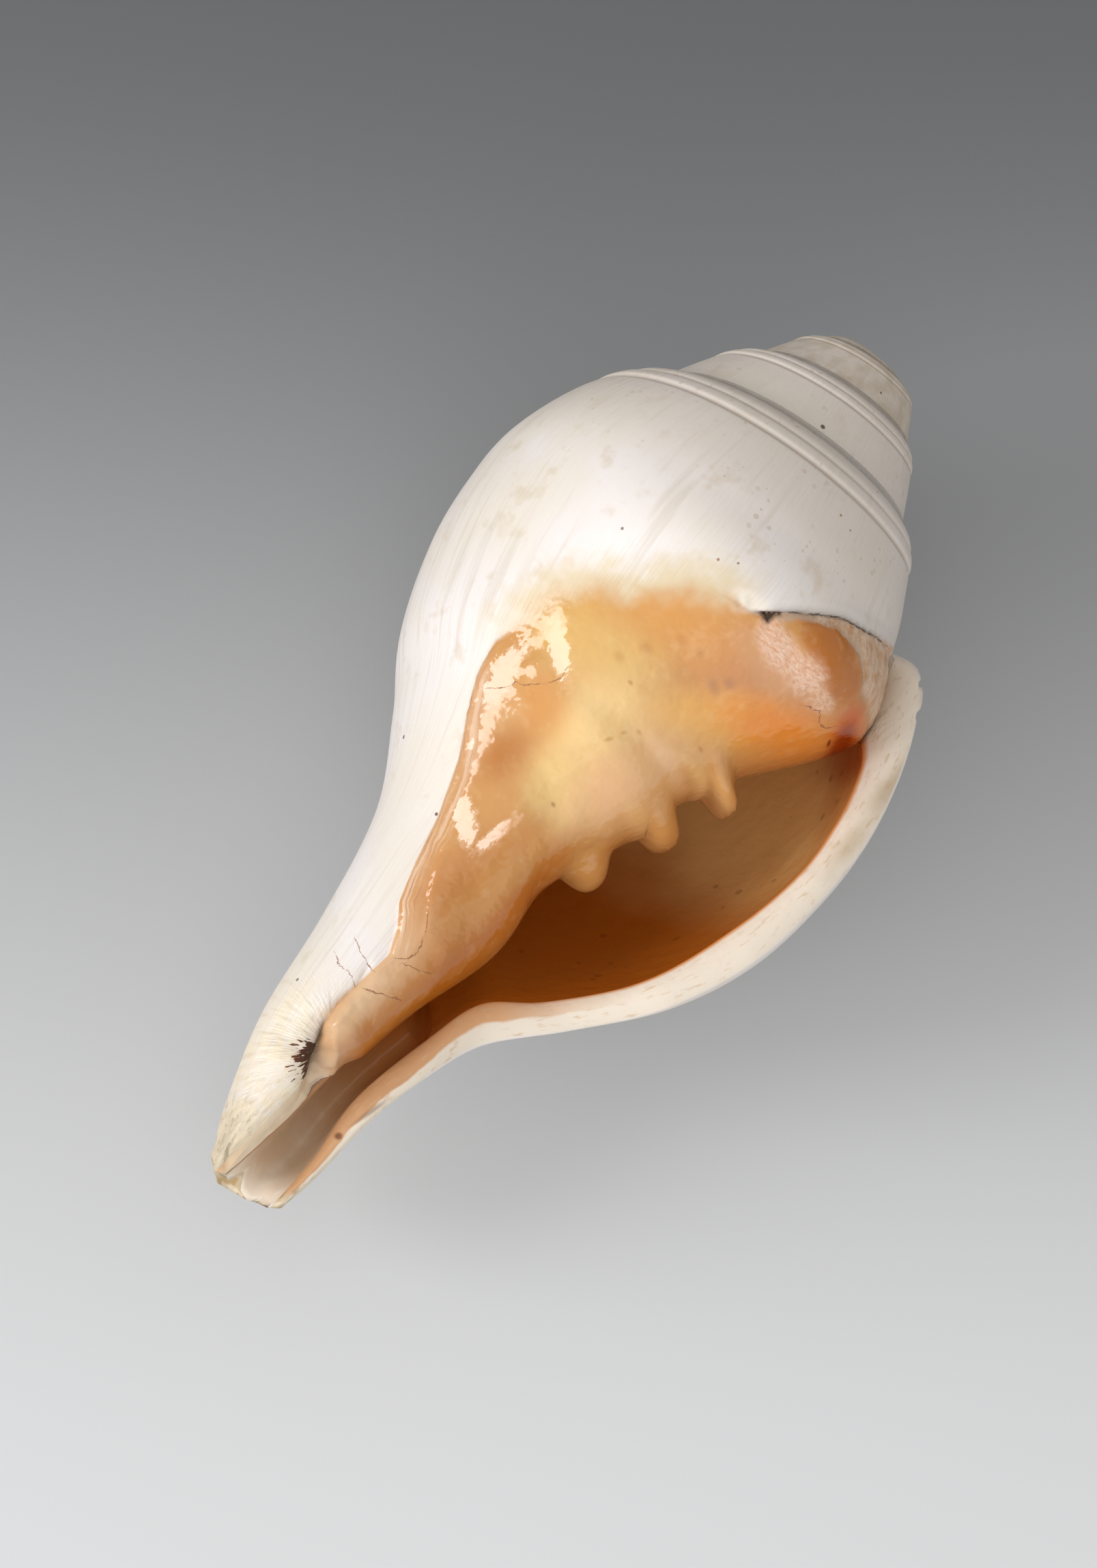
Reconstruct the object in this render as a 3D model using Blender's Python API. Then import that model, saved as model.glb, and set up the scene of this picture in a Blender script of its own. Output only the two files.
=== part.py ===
"""One chank shell: a single piece of shell wall coiled to the right round an upright axis, laid to rest.

The wall is one closed skin. Its outside and its inside are both drawn column by column along the
coil: a column of points is taken at each growth position, from the seam (suture) down to the tip
of the canal, and one turn later the next whorl starts on a row of the whorl before it.

Shell frame while drawing, in millimetres: +Z up the axis towards the apex, heights h counted down
from the point where the coil would start, angle = -360 degrees x growth position, so that growth
runs clockwise seen from the apex. Growth position 0 is where the lip leaves the last seam.
"""

import math

import bmesh
import bpy
import numpy as np
from mathutils import Matrix, Vector

MM = 0.001

# Driving dimensions of the coil.
GROWTH = 0.4008  # natural log of the size gained in one turn at the lip
DOMING = 0.063  # how much faster the size falls off towards the apex
SPIRE_TURNS = 3.9  # turns drawn behind the lip
WORN_H = 11.0  # the apex is worn off at this height
WORN_EDGE = 0.9  # rounding of the worn apex

# How the shell lies on its back: the axis level but for this lift of the apex, the mouth up.
REST_LIFT = math.radians(5.25)
REST_FLAT = 0.25  # depth of the small flat worn on the back where it rests

# Fineness of the skin.
COLUMNS_PER_TURN = 27
ROWS_PER_SPAN = (2, 2, 3, 3, 6, 8, 8, 4, 3, 3, 2, 2)  # rows of points between one knot and the next
FLOOR_STEPS = 8

# Outside of a whorl at growth position 0: (distance from the axis, height), seam to canal.
WHORL = ((30.0, 44.1), (35.3, 47.7), (40.5, 56.2), (44.2, 68.6), (44.3, 79.0), (42.3, 92.0),
         (36.5, 107.5), (28.5, 119.0))
SEAM_KNOT = 3  # the knot of a whorl on which the next whorl's seam runs
CORNER_KNOT = 4  # the knot on which the mouth's upper corner lies, one turn back
THROAT_KNOT = 9  # the knot where the mouth narrows to the canal
TIP_KNOT = 12

# Knots 0 to 7 where the whorl one turn back is the mouth's inner side, and at the flared lip.
INNER_SIDE = ((19.6, 28.8), (23.0, 31.1), (26.4, 36.7), (30.0, 44.1), (34.8, 58.5), (22.8, 77.5),
              (16.8, 92.5), (11.4, 106.5))
LIP = ((30.0, 44.1), (36.0, 44.9), (41.6, 55.2), (45.2, 68.0), (46.1, 80.5), (44.2, 95.8),
       (38.4, 109.4), (29.2, 121.3))
LIP_FLARE = 0.10  # turns over which the whorl flares into the lip
CALLUS_START = -0.5  # growth position where the wall starts to swell into the callus
CALLUS_EASE = 1.5  # above 1, the callus swells late

# Knots 8 to 12, the canal's stem: the centre of each section, then (angle, radius, height) at the
# lip, the back, the left, the front and the inner lip.
STEM_AT = (0.0, -0.25, -0.5, -0.75, -1.0)
STEM = (
    ((0.0, 0.0), ((0, 20.2, 132), (90, 17.3, 121), (180, 14.8, 112.5),
                  (270, 14, 112), (358, 12, 120.5))),
    ((0.5, 0.0), ((-5, 16.2, 142.5), (88, 13.8, 136.5), (180, 11.1, 131),
                  (268, 11.2, 130), (344, 8, 135.3))),
    ((1.5, 0.5), ((-11, 13.3, 152), (84, 11.3, 151), (180, 9.5, 149.5),
                  (262, 9.4, 149), (317, 6, 150))),
    ((2.5, 0.5), ((-10, 11.3, 163.5), (80, 10.8, 163), (180, 5.8, 162.5),
                  (252, 6.2, 162), (300, 4.5, 161.5))),
    ((2.5, 0.5), ((-11, 10.4, 170), (70, 8.8, 169.5), (180, 1.2, 170.5),
                  (245, 3, 171.5), (282, 3.4, 169.5))),
)

# Inside of the outer wall at growth position 0, knots 0 to 12: (distance from the axis, height).
MOUTH_WALL = ((34.8, 58.5), (35.6, 59.2), (37.9, 62.8), (40.2, 71.5), (40.8, 82.0), (38.3, 94.5),
              (33.0, 108.3), (23.6, 120.2), (16.2, 127.0), (13.4, 136.0), (10.8, 149.5),
              (11.6, 161.0), (11.4, 170.5))
CAVITY_TURNS = 1.35
FLOOR_SAG = 2.0  # how far the cavity's bottom bows towards the canal

# Growth position of the lip's edge at each knot, seam to canal tip.
LIP_EDGE = (0.0, 0.012, 0.022, 0.032, 0.036, 0.034, 0.028, 0.012, 0.006, 0.012, 0.016, 0.010, 0.0)
LIP_REACH = 0.25  # turns over which the columns bend to meet the lip's edge
RIM_BULGE = 1.1  # how far the lip's edge stands out between its outer and inner corner
RIM_SQUARE = 0.7  # below 1, the edge is flatter than a half round
RIM_FADE = 0.7  # knot by which the edge has its full bulge, from none at the seam

# The open canal: its depth at knots 9 to 12, how square its bottom is, how far it leans under.
CANAL_DEPTH = (9.5, 9.0, 8.5, 7.5)
CANAL_SQUARE = 0.8
CANAL_UNDERCUT = 0.8

# Folds on the columella: (height at the mouth, reach, half width, where it starts).
FOLDS = ((78.6, 3.8, 1.5, -0.87), (88.4, 3.2, 1.8, -0.88), (100.2, 3.6, 2.5, -0.90))
FOLD_DROOP = 0.6  # how far a fold's crest leans towards the canal, as a share of its reach
FOLD_BLUNT = 2.4  # above 2, the crest is blunter than a bell curve
FOLD_RUN_IN = 0.10  # turns over which a fold rises

# Row number of each knot, and the knot place of each row.
ROW_OF_KNOT = np.cumsum((0,) + ROWS_PER_SPAN)
PLACES = np.interp(np.arange(ROW_OF_KNOT[-1] + 1), ROW_OF_KNOT, np.arange(TIP_KNOT + 1))
SEAM_ROW, CORNER_ROW, THROAT_ROW = ROW_OF_KNOT[[SEAM_KNOT, CORNER_KNOT, THROAT_KNOT]]


def scale_at(t):
    """Size of the shell at growth position t, 1 at the lip."""
    return np.exp(GROWTH * (t - DOMING * t * t))


def growth(column):
    """Growth position of a column: 0 is one turn behind the lip, COLUMNS_PER_TURN the lip."""
    return column / COLUMNS_PER_TURN - 1.0


def smooth(x):
    x = np.clip(x, 0.0, 1.0)
    return x * x * (3.0 - 2.0 * x)


def along(knots, values, at):
    """Smooth curve (Catmull-Rom) read at each place in at; values is (places, knots, numbers)."""
    knots = np.asarray(knots, float)
    slope = np.gradient(values, knots, axis=1)
    i = np.clip(np.searchsorted(knots, at, side="right") - 1, 0, len(knots) - 2)
    place = np.arange(len(at))
    width = (knots[i + 1] - knots[i])[:, None]
    u = (at - knots[i])[:, None] / width
    return (
        (2 * u**3 - 3 * u**2 + 1) * values[place, i]
        + (u**3 - 2 * u**2 + u) * width * slope[place, i]
        + (3 * u**2 - 2 * u**3) * values[place, i + 1]
        + (u**3 - u**2) * width * slope[place, i + 1]
    )


def around(radius, angle, height):
    return np.stack([radius * np.cos(angle), radius * np.sin(angle), height], axis=-1)


def worn(points):
    """Points above the worn apex pressed down on to it."""
    points = points.copy()
    below = (points[..., 2] - WORN_H) / WORN_EDGE
    points[..., 2] = WORN_H + WORN_EDGE * np.logaddexp(0.0, below)
    return points


def whorl_knots(t):
    """The 13 knots of the outside at each growth position in t, from -1 to the lip."""
    size = scale_at(t)[:, None, None]
    upper = np.array(WHORL) * size
    swell = smooth((CALLUS_START - t) / (CALLUS_START + 1.0))[:, None, None] ** CALLUS_EASE
    inner = np.array(INNER_SIDE) * size / scale_at(-1.0)
    upper = upper + (inner - upper) * swell
    flare = smooth((t + LIP_FLARE) / LIP_FLARE)[:, None, None]
    upper = upper + (np.array(LIP) * size - upper) * flare
    angle = -2.0 * math.pi * t
    knots = [around(upper[:, k, 0], angle, upper[:, k, 1]) for k in range(upper.shape[1])]
    order = np.argsort(STEM_AT)
    for centre, stations in STEM:
        table = np.tile(np.array(stations, float)[order], (len(t), 1, 1))
        degrees, radius, height = along(np.array(STEM_AT)[order], table, t).T
        knots.append(around(radius, np.radians(degrees), height) + (*centre, 0.0))
    return np.stack(knots, axis=1)


def folded(points, t):
    """Points of the mouth's inner side pushed out into the folds; t is one turn back."""
    shrink = scale_at(np.minimum(t, -1.0)) / scale_at(-1.0)
    push = np.zeros(len(points))
    for height, reach, half_width, start in FOLDS:
        off = (points[:, 2] / shrink - height) / half_width
        push += reach * np.exp(-np.abs(off) ** FOLD_BLUNT) * smooth((start - t) / FOLD_RUN_IN)
    out = np.hypot(points[:, 0], points[:, 1])[:, None]
    points = points.copy()
    points[:, :2] += points[:, :2] / out * (push * shrink)[:, None]
    points[:, 2] += FOLD_DROOP * push * shrink
    return points


def outside(t, places):
    """Points of the outside at growth positions t and knot places."""
    t = np.broadcast_to(t, places.shape).astype(float)
    return folded(along(np.arange(TIP_KNOT + 1), whorl_knots(t), places), t)


def spire(t, places):
    """Points of the outside between two seams, at a growth position t below -1."""
    size = scale_at(t)
    knots = np.array(INNER_SIDE[: SEAM_KNOT + 1]) / scale_at(-1.0)
    knots[SEAM_KNOT] = np.array(WHORL[0]) * scale_at(t + 1.0) / size
    knots = np.tile(knots, (len(places), 1, 1))
    radius, height = along(np.arange(SEAM_KNOT + 1), knots, places).T * size
    return around(radius, -2.0 * math.pi * t, height)


def inner_side(t, places):
    """The mouth's inner side carried back into the shell to growth position t: turned and shrunk."""
    size = scale_at(t - 1.0) / scale_at(-1.0)
    turned = np.array(Matrix.Rotation(-2.0 * math.pi * t, 3, "Z"))
    return outside(-1.0, places) @ turned.T * size


def outer_wall(t, places):
    """Points of the inside of the outer wall at growth positions t and knot places."""
    knots = np.tile(np.array(MOUTH_WALL), (len(places), 1, 1))
    radius, height = along(np.arange(TIP_KNOT + 1), knots, places).T * scale_at(t)
    return around(radius, -2.0 * math.pi * t, height)


def lip_bend(t, places):
    """Growth position of each point of column t, which bends to meet the lip's edge."""
    edge = np.interp(places, np.arange(TIP_KNOT + 1), LIP_EDGE)
    return t + edge * smooth((t + LIP_REACH) / LIP_REACH)


def cavity_floor(wall_end, inner_end, size):
    """Points across the cavity's bottom, from the outer wall to the inner side."""
    share = np.linspace(0.0, 1.0, FLOOR_STEPS + 1)[:, None]
    row = wall_end + (inner_end - wall_end) * share
    row[:, 2:] += FLOOR_SAG * size * np.sin(math.pi * share)
    return row


def canal_floor():
    """Rows of points across the canal from the throat to the tip, each from lip to columella."""
    places = PLACES[THROAT_ROW:]
    outer = outer_wall(lip_bend(0.0, places), places)[:, None]
    inner = outside(-1.0, places)[:, None]
    depth = np.interp(places, range(THROAT_KNOT, TIP_KNOT + 1), CANAL_DEPTH)[:, None]
    share = np.linspace(0.0, 1.0, FLOOR_STEPS + 1)
    rows = outer + (inner - outer) * share[:, None]
    rows[:, :, 1] += depth * np.sin(math.pi * share) ** CANAL_SQUARE
    rows[:, :, 0] += CANAL_UNDERCUT * np.sin(2.0 * math.pi * share)
    return rows


class Skin:
    """Points and faces of the closed skin, gathered patch by patch."""

    def __init__(self):
        self.points = []
        self.faces = []

    def add(self, points):
        first = len(self.points)
        self.points.extend(points)
        return np.arange(first, len(self.points))

    def patch(self, rows):
        """Quads between rows of point numbers; one with a repeated corner is a triangle."""
        for upper, lower in zip(rows, rows[1:]):
            for j in range(len(upper) - 1):
                ring = [upper[j], lower[j], lower[j + 1], upper[j + 1]]
                ring = [p for k, p in enumerate(ring) if p != ring[k - 1]]
                if len(set(ring)) > 2:
                    self.faces.append(ring)

    def fan(self, ring):
        """Closes a ring of point numbers with triangles to its middle."""
        middle = self.add([np.mean([self.points[p] for p in ring], axis=0)])[0]
        self.faces.extend([ring[k - 1], p, middle] for k, p in enumerate(ring))

    def zipper(self, first, second):
        """Triangles between two rows of points that start and end at about the same places."""

        def shares(row):
            ends = np.array([self.points[p] for p in row])
            steps = np.linalg.norm(np.diff(ends, axis=0), axis=1)
            return np.append(0.0, np.cumsum(steps)) / steps.sum()

        a, b = shares(first), shares(second)
        i = j = 0
        while i < len(first) - 1 or j < len(second) - 1:
            if j == len(second) - 1 or (i < len(first) - 1 and a[i + 1] <= b[j + 1]):
                face = [first[i], first[i + 1], second[j]]
                i += 1
            else:
                face = [first[i], second[j + 1], second[j]]
                j += 1
            if len(set(face)) == 3:
                self.faces.append(face)


def draw_outside(skin):
    """The last whorl, the spire and the worn apex; returns each column's point numbers."""
    turn = COLUMNS_PER_TURN
    columns = {}
    for c in range(turn + 1):
        columns[c] = skin.add(worn(outside(lip_bend(growth(c), PLACES), PLACES)))
    # A spire column ends on the first point of the column one turn later, so that the whorls meet.
    apex = -round((SPIRE_TURNS - 1.0) * turn)
    for c in range(-1, apex, -1):
        own = skin.add(worn(spire(growth(c), PLACES[:SEAM_ROW])))
        columns[c] = np.append(own, columns[c + turn][0])
    columns[apex] = np.full(SEAM_ROW + 1, columns[apex + turn][0])
    columns[0][SEAM_ROW] = columns[turn][0]
    skin.patch([columns[c] for c in range(turn + 1)])
    skin.patch([columns[c][: SEAM_ROW + 1] for c in range(apex, 1)])
    skin.fan([columns[c][0] for c in range(apex + 1, apex + turn + 1)])
    return columns


def draw_cavity(skin, columns, canal):
    """The inside as loops of points from its deep end out to the mouth; returns the mouth's loop."""
    mouth_places = PLACES[: THROAT_ROW + 1]
    inner_places = PLACES[CORNER_ROW : THROAT_ROW + 1]
    opening = canal[0] - cavity_floor(canal[0][0], canal[0][-1], 1.0)
    loops = []
    for c in range(round(CAVITY_TURNS * COLUMNS_PER_TURN), -1, -1):
        t = -c / COLUMNS_PER_TURN
        wall = outer_wall(lip_bend(t, mouth_places), mouth_places)
        inner = inner_side(t, inner_places)
        floor = cavity_floor(wall[-1], inner[-1], scale_at(t))
        floor += opening * max(0.0, 1.0 + t / LIP_REACH)
        wall_row = skin.add(wall[1:])
        floor_row = skin.add(floor[1:-1])
        inner_row = skin.add(inner) if c else columns[0][CORNER_ROW : THROAT_ROW + 1]
        loops.append(np.concatenate([[inner_row[0]], wall_row, floor_row, inner_row[::-1]]))
    skin.patch(loops)
    skin.fan(loops[0][:-1])
    return loops[-1]


def draw_canal(skin, columns, canal, mouth):
    """The canal's floor; returns its rows of point numbers, each from lip to columella."""
    rows = [mouth[THROAT_ROW : THROAT_ROW + FLOOR_STEPS + 1]]
    for k, row in enumerate(canal[1:], 1):
        rows.append(np.append(skin.add(row[:-1]), columns[0][THROAT_ROW + k]))
    skin.patch(rows)
    return rows


def draw_lip_edge(skin, columns, mouth, canal_rows):
    """The rim between the lip's outer and inner corners; returns the rim's last points."""
    outer = columns[COLUMNS_PER_TURN]
    inner = np.concatenate([mouth[:THROAT_ROW], [row[0] for row in canal_rows]])
    a = np.array([skin.points[p] for p in outer])
    b = np.array([skin.points[p] for p in inner])
    forward = np.stack([a[:, 1], -a[:, 0], np.zeros(len(a))], axis=1)
    forward /= np.linalg.norm(forward, axis=1)[:, None]
    forward *= RIM_BULGE * smooth(PLACES / RIM_FADE)[:, None]
    rim = [outer]
    steps = CORNER_ROW - SEAM_ROW
    for k in range(1, steps):
        share = k / steps
        row = a + (b - a) * share + forward * math.sin(math.pi * share) ** RIM_SQUARE
        rim.append(np.append(columns[0][SEAM_ROW + k], skin.add(row[1:])))
    rim.append(inner)
    skin.patch(rim)
    return [row[-1] for row in rim]


def shell_skin():
    skin = Skin()
    canal = canal_floor()
    columns = draw_outside(skin)
    mouth = draw_cavity(skin, columns, canal)
    canal_rows = draw_canal(skin, columns, canal, mouth)
    rim_end = draw_lip_edge(skin, columns, mouth, canal_rows)
    # The end of the stem, between its outside and the canal's floor.
    round_the_back = [columns[c][-1] for c in range(COLUMNS_PER_TURN, -1, -1)]
    skin.zipper(round_the_back, rim_end + list(canal_rows[-1][1:]))
    return skin


def shell_material():
    material = bpy.data.materials.new("shell wall")
    material.use_nodes = True
    surface = material.node_tree.nodes["Principled BSDF"]
    surface.inputs["Base Color"].default_value = (0.84, 0.79, 0.71, 1.0)
    surface.inputs["Roughness"].default_value = 0.35
    surface.inputs["Metallic"].default_value = 0.0
    return material


def lie_down():
    """Rotation from the shell frame to the rest: apex to +X, mouth to +Z, lip to -Y."""
    laid = Matrix(((0, 0, 1), (-1, 0, 0), (0, -1, 0)))
    return (Matrix.Rotation(-REST_LIFT, 3, "Y") @ laid).to_4x4()


def cut_flat(bm, rest):
    """Cuts the small flat on the back that the shell rests on, and closes it."""
    down = -(rest.to_3x3().inverted() @ Vector((0, 0, 1)))
    lowest = max(bm.verts, key=lambda v: v.co.dot(down)).co
    plane = lowest - down * REST_FLAT * MM
    parts = bm.verts[:] + bm.edges[:] + bm.faces[:]
    cut = bmesh.ops.bisect_plane(bm, geom=parts, plane_co=plane, plane_no=down, clear_outer=True)
    edges = [part for part in cut["geom_cut"] if isinstance(part, bmesh.types.BMEdge)]
    bmesh.ops.holes_fill(bm, edges=edges)


def build():
    for obj in list(bpy.data.objects):
        bpy.data.objects.remove(obj)
    skin = shell_skin()
    points = np.array(skin.points) * (1.0, 1.0, -1.0) * MM
    mesh = bpy.data.meshes.new("shell")
    mesh.from_pydata(points.tolist(), [], [[int(p) for p in face] for face in skin.faces])
    rest = lie_down()
    bm = bmesh.new()
    bm.from_mesh(mesh)
    bmesh.ops.delete(bm, geom=[v for v in bm.verts if not v.link_faces], context="VERTS")
    bmesh.ops.recalc_face_normals(bm, faces=bm.faces)
    cut_flat(bm, rest)
    bmesh.ops.triangulate(bm, faces=bm.faces)
    bm.to_mesh(mesh)
    bm.free()
    mesh.shade_smooth()
    mesh.materials.append(shell_material())
    # The middle of the laid shell's base goes to the origin.
    laid = np.array([rest @ v.co for v in mesh.vertices])
    low, high = laid.min(axis=0), laid.max(axis=0)
    base = Vector(((low[0] + high[0]) / 2, (low[1] + high[1]) / 2, low[2]))
    shell = bpy.data.objects.new("shell", mesh)
    shell.matrix_world = Matrix.Translation(-base) @ rest
    bpy.context.scene.collection.objects.link(shell)


build()
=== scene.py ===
"""One chank shell lying on a table, its mouth up.

The wall is drawn unwound: each point has a radius, a turn and a height, all for a shell that never
grows. A Geometry Nodes tree, the coil, then winds it round the axis while it grows, cuts the two
grooves under the seam, raises the growth lines and wears off the apex.

Lengths are in millimetres until the tree gives metres. Heights h are counted from the point where
the coil would start, down to the tip of the canal. Turn 0 is where the lip leaves the last seam,
and the turns before it are negative. A knot place runs from 0, at the seam, to 12, at the canal's
tip.
"""

import math
from types import SimpleNamespace

import bmesh
import bpy
import numpy as np
from mathutils import Matrix, Vector, noise


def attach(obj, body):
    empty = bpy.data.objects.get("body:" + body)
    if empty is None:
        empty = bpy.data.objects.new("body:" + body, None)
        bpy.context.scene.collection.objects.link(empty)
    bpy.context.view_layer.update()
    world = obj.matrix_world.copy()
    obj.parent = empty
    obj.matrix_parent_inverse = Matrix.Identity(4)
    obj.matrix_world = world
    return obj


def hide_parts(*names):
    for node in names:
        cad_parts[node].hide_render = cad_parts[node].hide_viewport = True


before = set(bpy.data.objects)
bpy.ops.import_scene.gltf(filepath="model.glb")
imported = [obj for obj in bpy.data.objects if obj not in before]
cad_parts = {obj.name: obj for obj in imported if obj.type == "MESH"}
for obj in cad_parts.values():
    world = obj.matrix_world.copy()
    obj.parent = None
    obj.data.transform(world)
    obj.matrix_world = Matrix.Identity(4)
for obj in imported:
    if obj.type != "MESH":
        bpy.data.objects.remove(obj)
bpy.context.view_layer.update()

# The coil.
GROWTH = 0.4008  # natural log of the size gained in one turn at the lip
DOMING = 0.063  # how much faster the size falls off towards the apex
SPIRE_TURNS = 3.9
WORN_H = 11.0  # the apex is worn off at this height
WORN_EDGE = 0.9

# The outside of a whorl at the lip's size: (radius, height), from the seam down.
WHORL = ((30.0, 44.1), (35.3, 47.7), (40.5, 56.2), (44.2, 68.6), (44.3, 79.0), (42.3, 92.0),
         (36.5, 107.5), (28.5, 119.0))
SEAM_KNOT, CORNER_KNOT, THROAT_KNOT, TIP_KNOT = 3, 4, 9, 12
# The same knots where the whorl one turn back is the mouth's inner side, and at the flared lip.
INNER_SIDE = ((19.6, 28.8), (23.0, 31.1), (26.4, 36.7), (30.0, 44.1), (34.8, 58.5), (22.8, 77.5),
              (16.8, 92.5), (11.4, 106.5))
LIP = ((30.0, 44.1), (36.0, 44.9), (41.6, 55.2), (45.2, 68.0), (46.1, 80.5), (44.2, 95.8),
       (38.4, 109.4), (29.2, 121.3))
LIP_FLARE = 0.10
CALLUS_START = -0.5
CALLUS_EASE = 1.5
# The stem round the canal, knots 8 to 12: the centre of each section, then (angle, radius, height)
# at the lip, the back, the left, the front and the inner lip.
STEM_AT = (0.0, -0.25, -0.5, -0.75, -1.0)
STEM = (
    ((0.0, 0.0), ((0, 20.2, 132), (90, 17.3, 121), (180, 14.8, 112.5),
                  (270, 14, 112), (358, 12, 120.5))),
    ((0.5, 0.0), ((-5, 16.2, 142.5), (88, 13.8, 136.5), (180, 11.1, 131),
                  (268, 11.2, 130), (344, 8, 135.3))),
    ((1.5, 0.5), ((-11, 13.3, 152), (84, 11.3, 151), (180, 9.5, 149.5),
                  (262, 9.4, 149), (317, 6, 150))),
    ((2.5, 0.5), ((-10, 11.3, 163.5), (80, 10.8, 163), (180, 5.8, 162.5),
                  (252, 6.2, 162), (300, 4.5, 161.5))),
    ((2.5, 0.5), ((-11, 10.4, 170), (70, 8.8, 169.5), (180, 1.2, 170.5),
                  (245, 3, 171.5), (282, 3.4, 169.5))),
)
# The inside of the outer wall at the lip, knots 0 to 12.
MOUTH_WALL = ((34.8, 58.5), (35.6, 59.2), (37.9, 62.8), (40.2, 71.5), (40.8, 82.0), (38.3, 94.5),
              (33.0, 108.3), (23.6, 120.2), (16.2, 127.0), (13.4, 136.0), (10.8, 149.5),
              (11.6, 161.0), (11.4, 170.5))
CAVITY_TURNS = 1.35
FLOOR_SAG = 2.0
LIP_EDGE = (0.0, 0.012, 0.022, 0.032, 0.036, 0.034, 0.028, 0.012, 0.006, 0.012, 0.016, 0.010, 0.0)
LIP_REACH = 0.25
RIM_BULGE = 1.1
RIM_SQUARE = 0.7
RIM_FADE = 0.7
CANAL_DEPTH = (9.5, 9.0, 8.5, 7.5)
CANAL_SQUARE = 0.8
CANAL_UNDERCUT = 0.8
# Folds on the columella: (height at the mouth, reach, half width, where it starts).
FOLDS = ((78.6, 3.8, 1.3, -0.87), (88.4, 3.2, 1.7, -0.88), (100.2, 3.6, 2.4, -0.90))
FOLD_DROOP = 0.6
FOLD_BLUNT = 2.4
FOLD_RUN_IN = 0.10

# How it lies: the apex lifted by this much, and where the coil's start then is.
REST_LIFT = math.radians(5.25)
COIL_START = Vector((90.74, 4.87, 46.25))
LAID_DOWN = Matrix.Rotation(-REST_LIFT, 3, "Y") @ Matrix(((0, 0, 1), (-1, 0, 0), (0, -1, 0)))
MM = 0.001

# Fineness of the wall: rows between one knot and the next, and every how manieth of them is kept
# away from the mouth's face, which spans the turns -1 to FACE_END.
ROWS = (10, 30, 10, 26, 48, 36, 33, 30, 27, 44, 36, 16)
BACK_STRIDE = (2, 1, 2, 2, 3, 3, 3, 3, 3, 4, 4, 2)
FACE_END = -0.64
FACE_COLUMNS = 136
BACK_COLUMNS = 146
SPIRE_ROWS = (8, 22, 6)
SPIRE_COLUMNS_PER_TURN = 120
CAVITY_LOOPS = 60
CAVITY_WALL_STEPS = 50
FLOOR_STEPS = 16

# The two grooves that part the cords under each seam, at these knot places, and what the coil tree
# adds to the bare wall. Depths are for size 1.
GROOVES = (1.10, 1.55)
GROOVE_WIDTH = 0.05
GROOVE_DEPTH = 0.55
CORD_SWELL = 0.35
RIPPLE_DEPTH = 0.16
RIPPLES_PER_TURN = 26.0
RIPPLE_SEED = 3.0
RIPPLE_STRETCH = 0.8  # how fast the ripple changes from one knot place to the next
PRESSED_LIMIT = 60.0  # widths of the worn edge, past which nothing more is pressed down
COIL_VALUES = (
    ("Growth per turn", GROWTH), ("Doming", DOMING), ("Worn height", WORN_H),
    ("Worn edge", WORN_EDGE), ("First groove", GROOVES[0]), ("Second groove", GROOVES[1]),
    ("Groove width", GROOVE_WIDTH), ("Groove depth", GROOVE_DEPTH), ("Cord swell", CORD_SWELL),
    ("Ripple depth", RIPPLE_DEPTH), ("Ripples per turn", RIPPLES_PER_TURN),
    ("Ripple seed", RIPPLE_SEED),
)

# The callus is the glazed pad laid over the columella and the last whorl. Its edge, as (x, h) seen
# into the mouth, from the lip's corner over the whorl and down the left of the columella.
CALLUS_EDGE = ((29.5, 46.5), (25.1, 50.5), (21.3, 52.6), (17.7, 55.9), (14.8, 58.6), (11.0, 62.3),
               (6.0, 64.6), (0.4, 66.2), (-3.0, 69.6), (-6.0, 73.4), (-9.4, 73.8), (-13.8, 77.5),
               (-15.4, 82.5), (-16.6, 88.0), (-15.7, 92.3), (-12.8, 98.2), (-9.6, 104.0),
               (-6.6, 112.1), (-4.9, 119.3), (-2.9, 125.7), (-0.6, 129.2), (0.9, 133.0),
               (0.3, 138.2), (-0.4, 143.0), (-0.1, 147.0), (1.6, 149.0), (3.6, 150.6), (4.2, 152.6),
               (3.4, 156.0), (2.9, 160.0), (2.4, 166.0), (1.4, 174.0))
LEDGE_RISE = 0.85
LEDGE_SPAN = (85.0, 5.0, 145.0, 4.0)  # heights: where it starts and over what, the same for its end
# A second, thinner layer of glaze ends inside the first.
SECOND_LAYER = ((-14.3, 91.5), (-12.2, 95.6), (-10.6, 98.3), (-8.9, 100.8), (-6.8, 105.4),
                (-4.9, 111.6), (-3.2, 116.7), (-1.3, 120.6), (1.3, 125.5), (2.6, 129.0))
LAYER_RISE = 0.4
LAYER_SPAN = (91.0, 2.0, 126.0, 3.0)
# Each fold shows on the pad as a rounded rib: its path as (x, h), half width and rise. Two small
# ribs cross the curl of glaze beside the hole.
RIBS = ((((12.5, 83.6), (18.7, 81.8), (22.7, 80.9), (27.0, 80.6)), 1.1, 0.6),
        (((8.5, 93.2), (16.0, 91.7), (22.0, 90.2)), 1.7, 0.55),
        (((7.5, 103.0), (16.0, 101.1)), 2.2, 0.45),
        (((6.0, 61.4), (6.3, 62.9), (7.3, 64.2)), 0.3, 0.22),
        (((7.2, 60.8), (7.5, 62.1), (8.3, 63.2)), 0.3, 0.22))
RIB_TAPER = 6.0
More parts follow.
